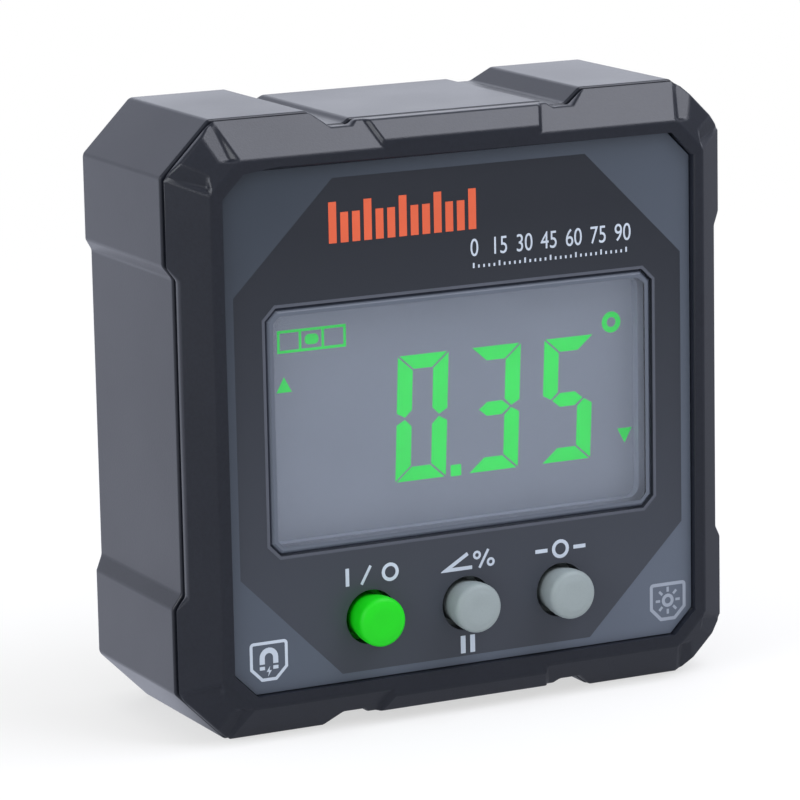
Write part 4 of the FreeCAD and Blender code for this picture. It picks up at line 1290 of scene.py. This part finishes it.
@dataclass
class FacePrint:
    """Marks printed on the face film, and the line round the window."""

    ink: float = 0.02 * MM
    line: float = 0.3 * MM
    window_half: Point = (20.96 * MM, 12.01 * MM)
    window_cut: float = 1.15 * MM
    middle: float = 30 * MM
    key_pitch: float = 10.4
    number_height: float = 1.7 * MM
    number_width: float = 0.78
    figure_share: float = 0.7
    number_start: Point = (1.4, 45.75)
    number_pitch: float = 2.72

    def build(self) -> list[Object]:
        """Build the marks.

        Returns:
            The new pieces.
        """
        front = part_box("label_panel")[0].y
        scales = (
            ScaleTicks("orange_scale", ORANGE_INK, count=13, every=3, pitch=1.24 * MM,
                       width=0.82 * MM, tall=3.95 * MM, short=2.9 * MM,
                       start=(-13.65 * MM, 47.65 * MM)),
            ScaleTicks("pale_scale", PALE_INK, count=31, every=5, pitch=0.56 * MM,
                       width=0.18 * MM, tall=0.5 * MM, short=0.3 * MM,
                       start=(1.3 * MM, 43.85 * MM)))
        rows = (("scale_numbers", self._numbers(front), PALE_INK),
                ("window_border", self._border(front), BORDER_INK),
                ("key_marks", plates(self._key_signs(), front - self.ink, front), PALE_INK),
                ("magnet_mark", plates(self._magnet_sign(), front - self.ink, front), PALE_INK),
                ("lamp_mark", plates(self._lamp_sign(), front - self.ink, front), DIM_INK))
        return ([scale.build(front) for scale in scales]
                + [add_piece(name, mesh, finish) for name, mesh, finish in rows])

    def _numbers(self, front: float) -> Mesh:
        """Degrees over the pale scale.

        Args:
            front: y of the film's front.

        Returns:
            Their mesh.
        """
        shape = bmesh.new()
        for step in range(7):
            x = self.number_start[0] + self.number_pitch * step
            shape.from_mesh(self._numeral(str(15 * step), (x * MM, self.number_start[1] * MM),
                                          front))
        return from_bmesh(shape, 20)

    def _numeral(self, text: str, middle: Point, front: float) -> Mesh:
        """One number on the film.

        Args:
            text: its figures.
            middle: x and z of its middle.
            front: y of the film's front.

        Returns:
            Its mesh, in place.
        """
        curve = bpy.data.curves.new("numerals", "FONT")
        curve.body = text
        curve.align_x = curve.align_y = "CENTER"
        curve.size = self.number_height / self.figure_share
        curve.extrude = self.ink / 2
        mesh = settled(linked("numerals", curve))
        bpy.data.curves.remove(curve)
        mesh.transform(Matrix.Translation((middle[0], front - self.ink / 2, middle[1]))
                       @ Matrix.Rotation(radians(90), 4, "X")
                       @ Matrix.Diagonal((self.number_width, 1, 1, 1)))
        return mesh

    def _border(self, front: float) -> Mesh:
        """Thin line round the window.

        Args:
            front: y of the film's front.

        Returns:
            Its mesh.
        """
        inner = octagon(self.middle, *self.window_half, self.window_cut)
        outer, raised = inset(inner, -self.line), front - self.ink
        return loft([[(outer, raised), (inner, raised), (inner, front), (outer, front)]],
                    closed=True)

    def _key_signs(self) -> list[Outline]:
        """Signs beside the keys: on and off, slope in percent, pause and nought.

        Returns:
            Their outlines.
        """
        rise, line = 0.88, 0.38
        on_off = (Stroke((-2.5, -rise), (-2.5, rise), line),
                  Stroke((-1.0, -rise), (0.0, rise), 0.28), Hoop((2.1, 0.0), 0.92, 0.58))
        slope = (Patch(((-2.8, -0.9), (0.6, -0.9), (0.6, -0.54), (-1.613, -0.54),
                        (0.228, 0.54), (0.046, 0.85), (-2.8, -0.82))),
                 Stroke((1.4, -rise), (2.4, rise), 0.26),
                 Hoop((1.15, 0.42), 0.44, 0.2, bars=14), Hoop((2.65, -0.42), 0.44, 0.2, bars=14))
        pause = [Stroke((x, -rise), (x, rise), 0.52) for x in (-0.52, 0.52)]
        nought = (Hoop((0.0, 0.0), 0.95, 0.6), Stroke((-2.8, 0.0), (-1.45, 0.0), line),
                  Stroke((1.45, 0.0), (2.8, 0.0), line))
        return (drawn(on_off, (-self.key_pitch, 15.05)) + drawn(slope, (0.0, 15.1))
                + drawn(pause, (0.0, 6.75)) + drawn(nought, (self.key_pitch, 15.0)))

    @staticmethod
    def _magnet_sign() -> list[Outline]:
        """Sign of the magnetic base in the lower left corner.

        Returns:
            Its outlines.
        """
        marks: list[Mark] = [Shield((0.0, -0.35), 2.0, 1.95, 0.3),
                             Hoop((0.0, 0.0), 0.98, 0.44, stop=180, bars=10)]
        for x in (-0.71, 0.71):
            marks += [Stroke((x, 0.0), (x, -0.62), 0.54), Stroke((x, -0.84), (x, -1.18), 0.54)]
        marks.append(Patch(((0.1, -0.85), (-0.27, -1.4), (-0.03, -1.4), (-0.12, -1.85),
                            (0.27, -1.26), (0.03, -1.26))))
        return drawn(marks, (-21.4, 8.3))

    @staticmethod
    def _lamp_sign() -> list[Outline]:
        """Sign of the lit display in the lower right corner.

        Returns:
            Its outlines.
        """
        turns = [radians(45 * step) for step in range(8)]
        rays = [Stroke((0.88 * cos(turn), 0.88 * sin(turn)),
                       (1.38 * cos(turn), 1.38 * sin(turn)), 0.26) for turn in turns]
        return drawn([Shield((0.0, -0.1), 2.05, 1.95, 0.34), Hoop((0.0, 0.0), 0.68, 0.34),
                      *rays], (22.5, 8.2))


# ---- other nodes
@dataclass
class Inside:
    """Finishes of the pieces whose shapes the frame already has."""

    rows: tuple[tuple[Finish, str], ...] = (
        (FACE_FILM, "label_panel"),
        (LENS, "display_window"),
        (DISPLAY, "front_polariser rear_polariser"),
        (CLEAR_GLASS, "front_lcd_glass rear_lcd_glass"),
        (GUIDE, "light_guide"),
        (WHITE_FILM, "reflector_sheet"),
        (LAMP, "backlight_leds"),
        (RUBBER, "lcd_connector_strip"),
        (HOLDER, "lcd_frame"),
        (BOARD, "main_board"),
        (CHIP, "tilt_sensor controller_chip"),
        (CAN, "timing_crystal"),
        (CERAMIC, "board_capacitors"),
        (SWITCH, "on_off_switch hold_switch zero_switch"),
        (PLUNGER, "on_off_plunger hold_plunger zero_plunger"),
        (CELL, "upper_battery lower_battery"),
        (CONTACT, "positive_contact negative_contact bridge_contact"),
        (MAGNET, "base_magnets"),
        (SCREW, "board_screws"),
    )

    def build(self) -> list[Object]:
        """Give each of these nodes its finish.

        Returns:
            The dressed nodes.
        """
        dressed = []
        for finish, names in self.rows:
            for name in names.split():
                node = FRAME["nodes"][name]
                node.data.materials.clear()
                node.data.materials.append(finish.material())
                dressed.append(node)
        return dressed


# ---- studio
@dataclass(frozen=True)
class Lamp:
    """Square soft lamp that faces the instrument: place and side in metres, power in watts."""

    name: str
    place: Place
    side: float
    power: float
    tint: Colour

    def hang(self, aim: Vector) -> None:
        """Make the lamp.

        Args:
            aim: the point that it faces.
        """
        data = bpy.data.lights.new(self.name, "AREA")
        data.size, data.energy, data.color = self.side, self.power, self.tint
        lamp = linked(self.name, data)
        lamp.visible_camera = False
        lamp.location = self.place
        lamp.rotation_euler = (aim - lamp.location).to_track_quat("-Z", "Y").to_euler()


@dataclass
class Studio:
    """Camera, soft lamps, pale floor and white surroundings.

    Camera angles are in degrees. Mirrored surroundings are bright behind the instrument, along
    the bright ways, and dimmer in front of it. The white floor starts beyond its shadow.
    """

    azimuth: float = 26.49
    elevation: float = 11.64
    roll: float = -1.11
    focal: float = 202.53
    sensor: float = 36.0
    near: float = 0.01
    offset: Place = (6.52 * MM, 433.89 * MM, -1.157 * MM)
    target: Place = (0.0, -11.425 * MM, 30 * MM)
    lamps: tuple[Lamp, ...] = (
        Lamp("overhead_panel", (0.3, -0.23, 0.62), 0.5, 3.2, (0.88, 0.9, 1.0)),
        Lamp("rear_panel", (0.41, 0.78, 0.17), 0.5, 0.42, (0.96, 0.98, 1.0)),
        Lamp("left_panel", (-0.62, -0.2, 0.33), 0.4, 1.8, (0.92, 0.95, 1.0)))
    aim: Place = (0.0, 0.0, 0.03)
    ambient: float = 0.75
    haze: Colour = (0.905, 0.945, 1.105)
    bright_way: Place = (0.364, 0.895, -0.258)
    bright_over: Point = (0.27, 0.72)
    dim: float = 0.22
    floor_half: float = 3.0
    floor_level: float = -0.02 * MM
    floor_way: Point = (-0.35, 0.94)
    floor_over: Point = (-0.05, 0.6)
    floor_dim: float = 0.308
    floor_tone: Colour = (0.9, 0.9, 0.9)
    shadow_over: Point = (0.06, 0.35)
    shadow_white: float = 0.62

    def build(self) -> None:
        """Set up the camera, lamps, world and floor."""
        self._camera()
        for lamp in self.lamps:
            lamp.hang(Vector(self.aim))
        self._world()
        self._floor()

    def _camera(self) -> None:
        """Make the camera."""
        turn = (Matrix.Rotation(radians(self.roll), 3, "Y")
                @ Matrix.Rotation(radians(self.elevation), 3, "X")
                @ Matrix.Rotation(radians(self.azimuth), 3, "Z"))
        place = Vector(self.target) - turn.transposed() @ Vector(self.offset)
        axes = Matrix((turn[0], turn[2], -turn[1])).transposed()
        data = bpy.data.cameras.new("camera")
        data.lens = self.focal
        data.sensor_width = self.sensor
        data.clip_start = self.near
        camera = linked("camera", data)
        camera.matrix_world = Matrix.Translation(place) @ axes.to_4x4()
        bpy.context.scene.camera = camera

    @staticmethod
    def _seen(graph: Graph) -> Signal:
        """One for rays that should meet white surroundings."""
        rays = graph.ray("Is Camera Ray") + graph.ray("Is Glossy Ray")
        return graph.math("MINIMUM", rays + graph.ray("Is Transmission Ray"), 1.0)

    def _world(self) -> None:
        """White world that lights the object softly and is dimmer in front of it."""
        world = bpy.data.worlds.new("surroundings")
        bpy.context.scene.world = world
        graph = Graph(world)
        facing = graph.signal("ShaderNodeVectorMath", {"operation": "DOT_PRODUCT"}, {
            0: graph.node("ShaderNodeTexCoord").outputs["Generated"], 1: self.bright_way},
            "Value")
        glossy = graph.ray("Is Glossy Ray")
        mirrored = glossy * graph.ramp(facing, self.bright_over, (self.dim, 1.0), "SMOOTHSTEP")
        direct = graph.math("MAXIMUM", graph.ray("Is Camera Ray"),
                            graph.ray("Is Transmission Ray"))
        unseen = (1 - self._seen(graph)) * self.ambient
        strength = graph.math("MAXIMUM", graph.math("MAXIMUM", mirrored, direct), unseen)
        graph.finish(graph.node("ShaderNodeBackground", None, {
            "Color": graph.blend(glossy, WHITE, self.haze), "Strength": strength}), "World")

    def _floor(self) -> None:
        """White floor that keeps the object's soft shadow."""
        shape = bmesh.new()
        corners = [shape.verts.new((x * self.floor_half, y * self.floor_half, self.floor_level))
                   for x, y in ((-1, -1), (1, -1), (1, 1), (-1, 1))]
        shape.faces.new(corners)
        mesh = from_bmesh(shape)
        mesh.materials.append(bpy.data.materials.new("floor_sheet"))
        graph = Graph(mesh.materials[0])
        x, y, _ = graph.axes()
        away = graph.math("SQRT", x * x + y * y)
        along = (x * self.floor_way[0] + y * self.floor_way[1]) / (away + MM)
        behind = graph.ramp(along, self.floor_over, (self.floor_dim, 1.0), "SMOOTHSTEP")
        glossy = graph.ray("Is Glossy Ray")
        white = graph.node("ShaderNodeEmission", None, {
            "Color": graph.blend(glossy, WHITE, self.haze),
            "Strength": 1 - glossy * (1 - behind)})
        matt = graph.node("ShaderNodeBsdfDiffuse", None, {"Color": self.floor_tone})
        share = graph.ramp(away, self.shadow_over, (self.shadow_white, 1.0), "SMOOTHSTEP")
        factor = self._seen(graph) * graph.math("MAXIMUM", share, glossy)
        graph.finish(graph.node("ShaderNodeMixShader", None, {
            0: factor, 1: matt.outputs[0], 2: white.outputs[0]}))
        linked("floor", mesh)


def main() -> None:
    """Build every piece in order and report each."""
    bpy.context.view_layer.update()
    Studio().build()
    for group in (Housing(), Keypad(), CaseScrews(), FacePrint(), Window(), Display(), Inside()):
        for piece in group.build():
            LOG.info("%s: %d faces", piece.name, len(piece.data.polygons))
    bpy.context.scene.view_settings.view_transform = "Standard"


if __name__ == "__main__":
    logging.basicConfig(level=logging.INFO)
    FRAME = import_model()
    main()
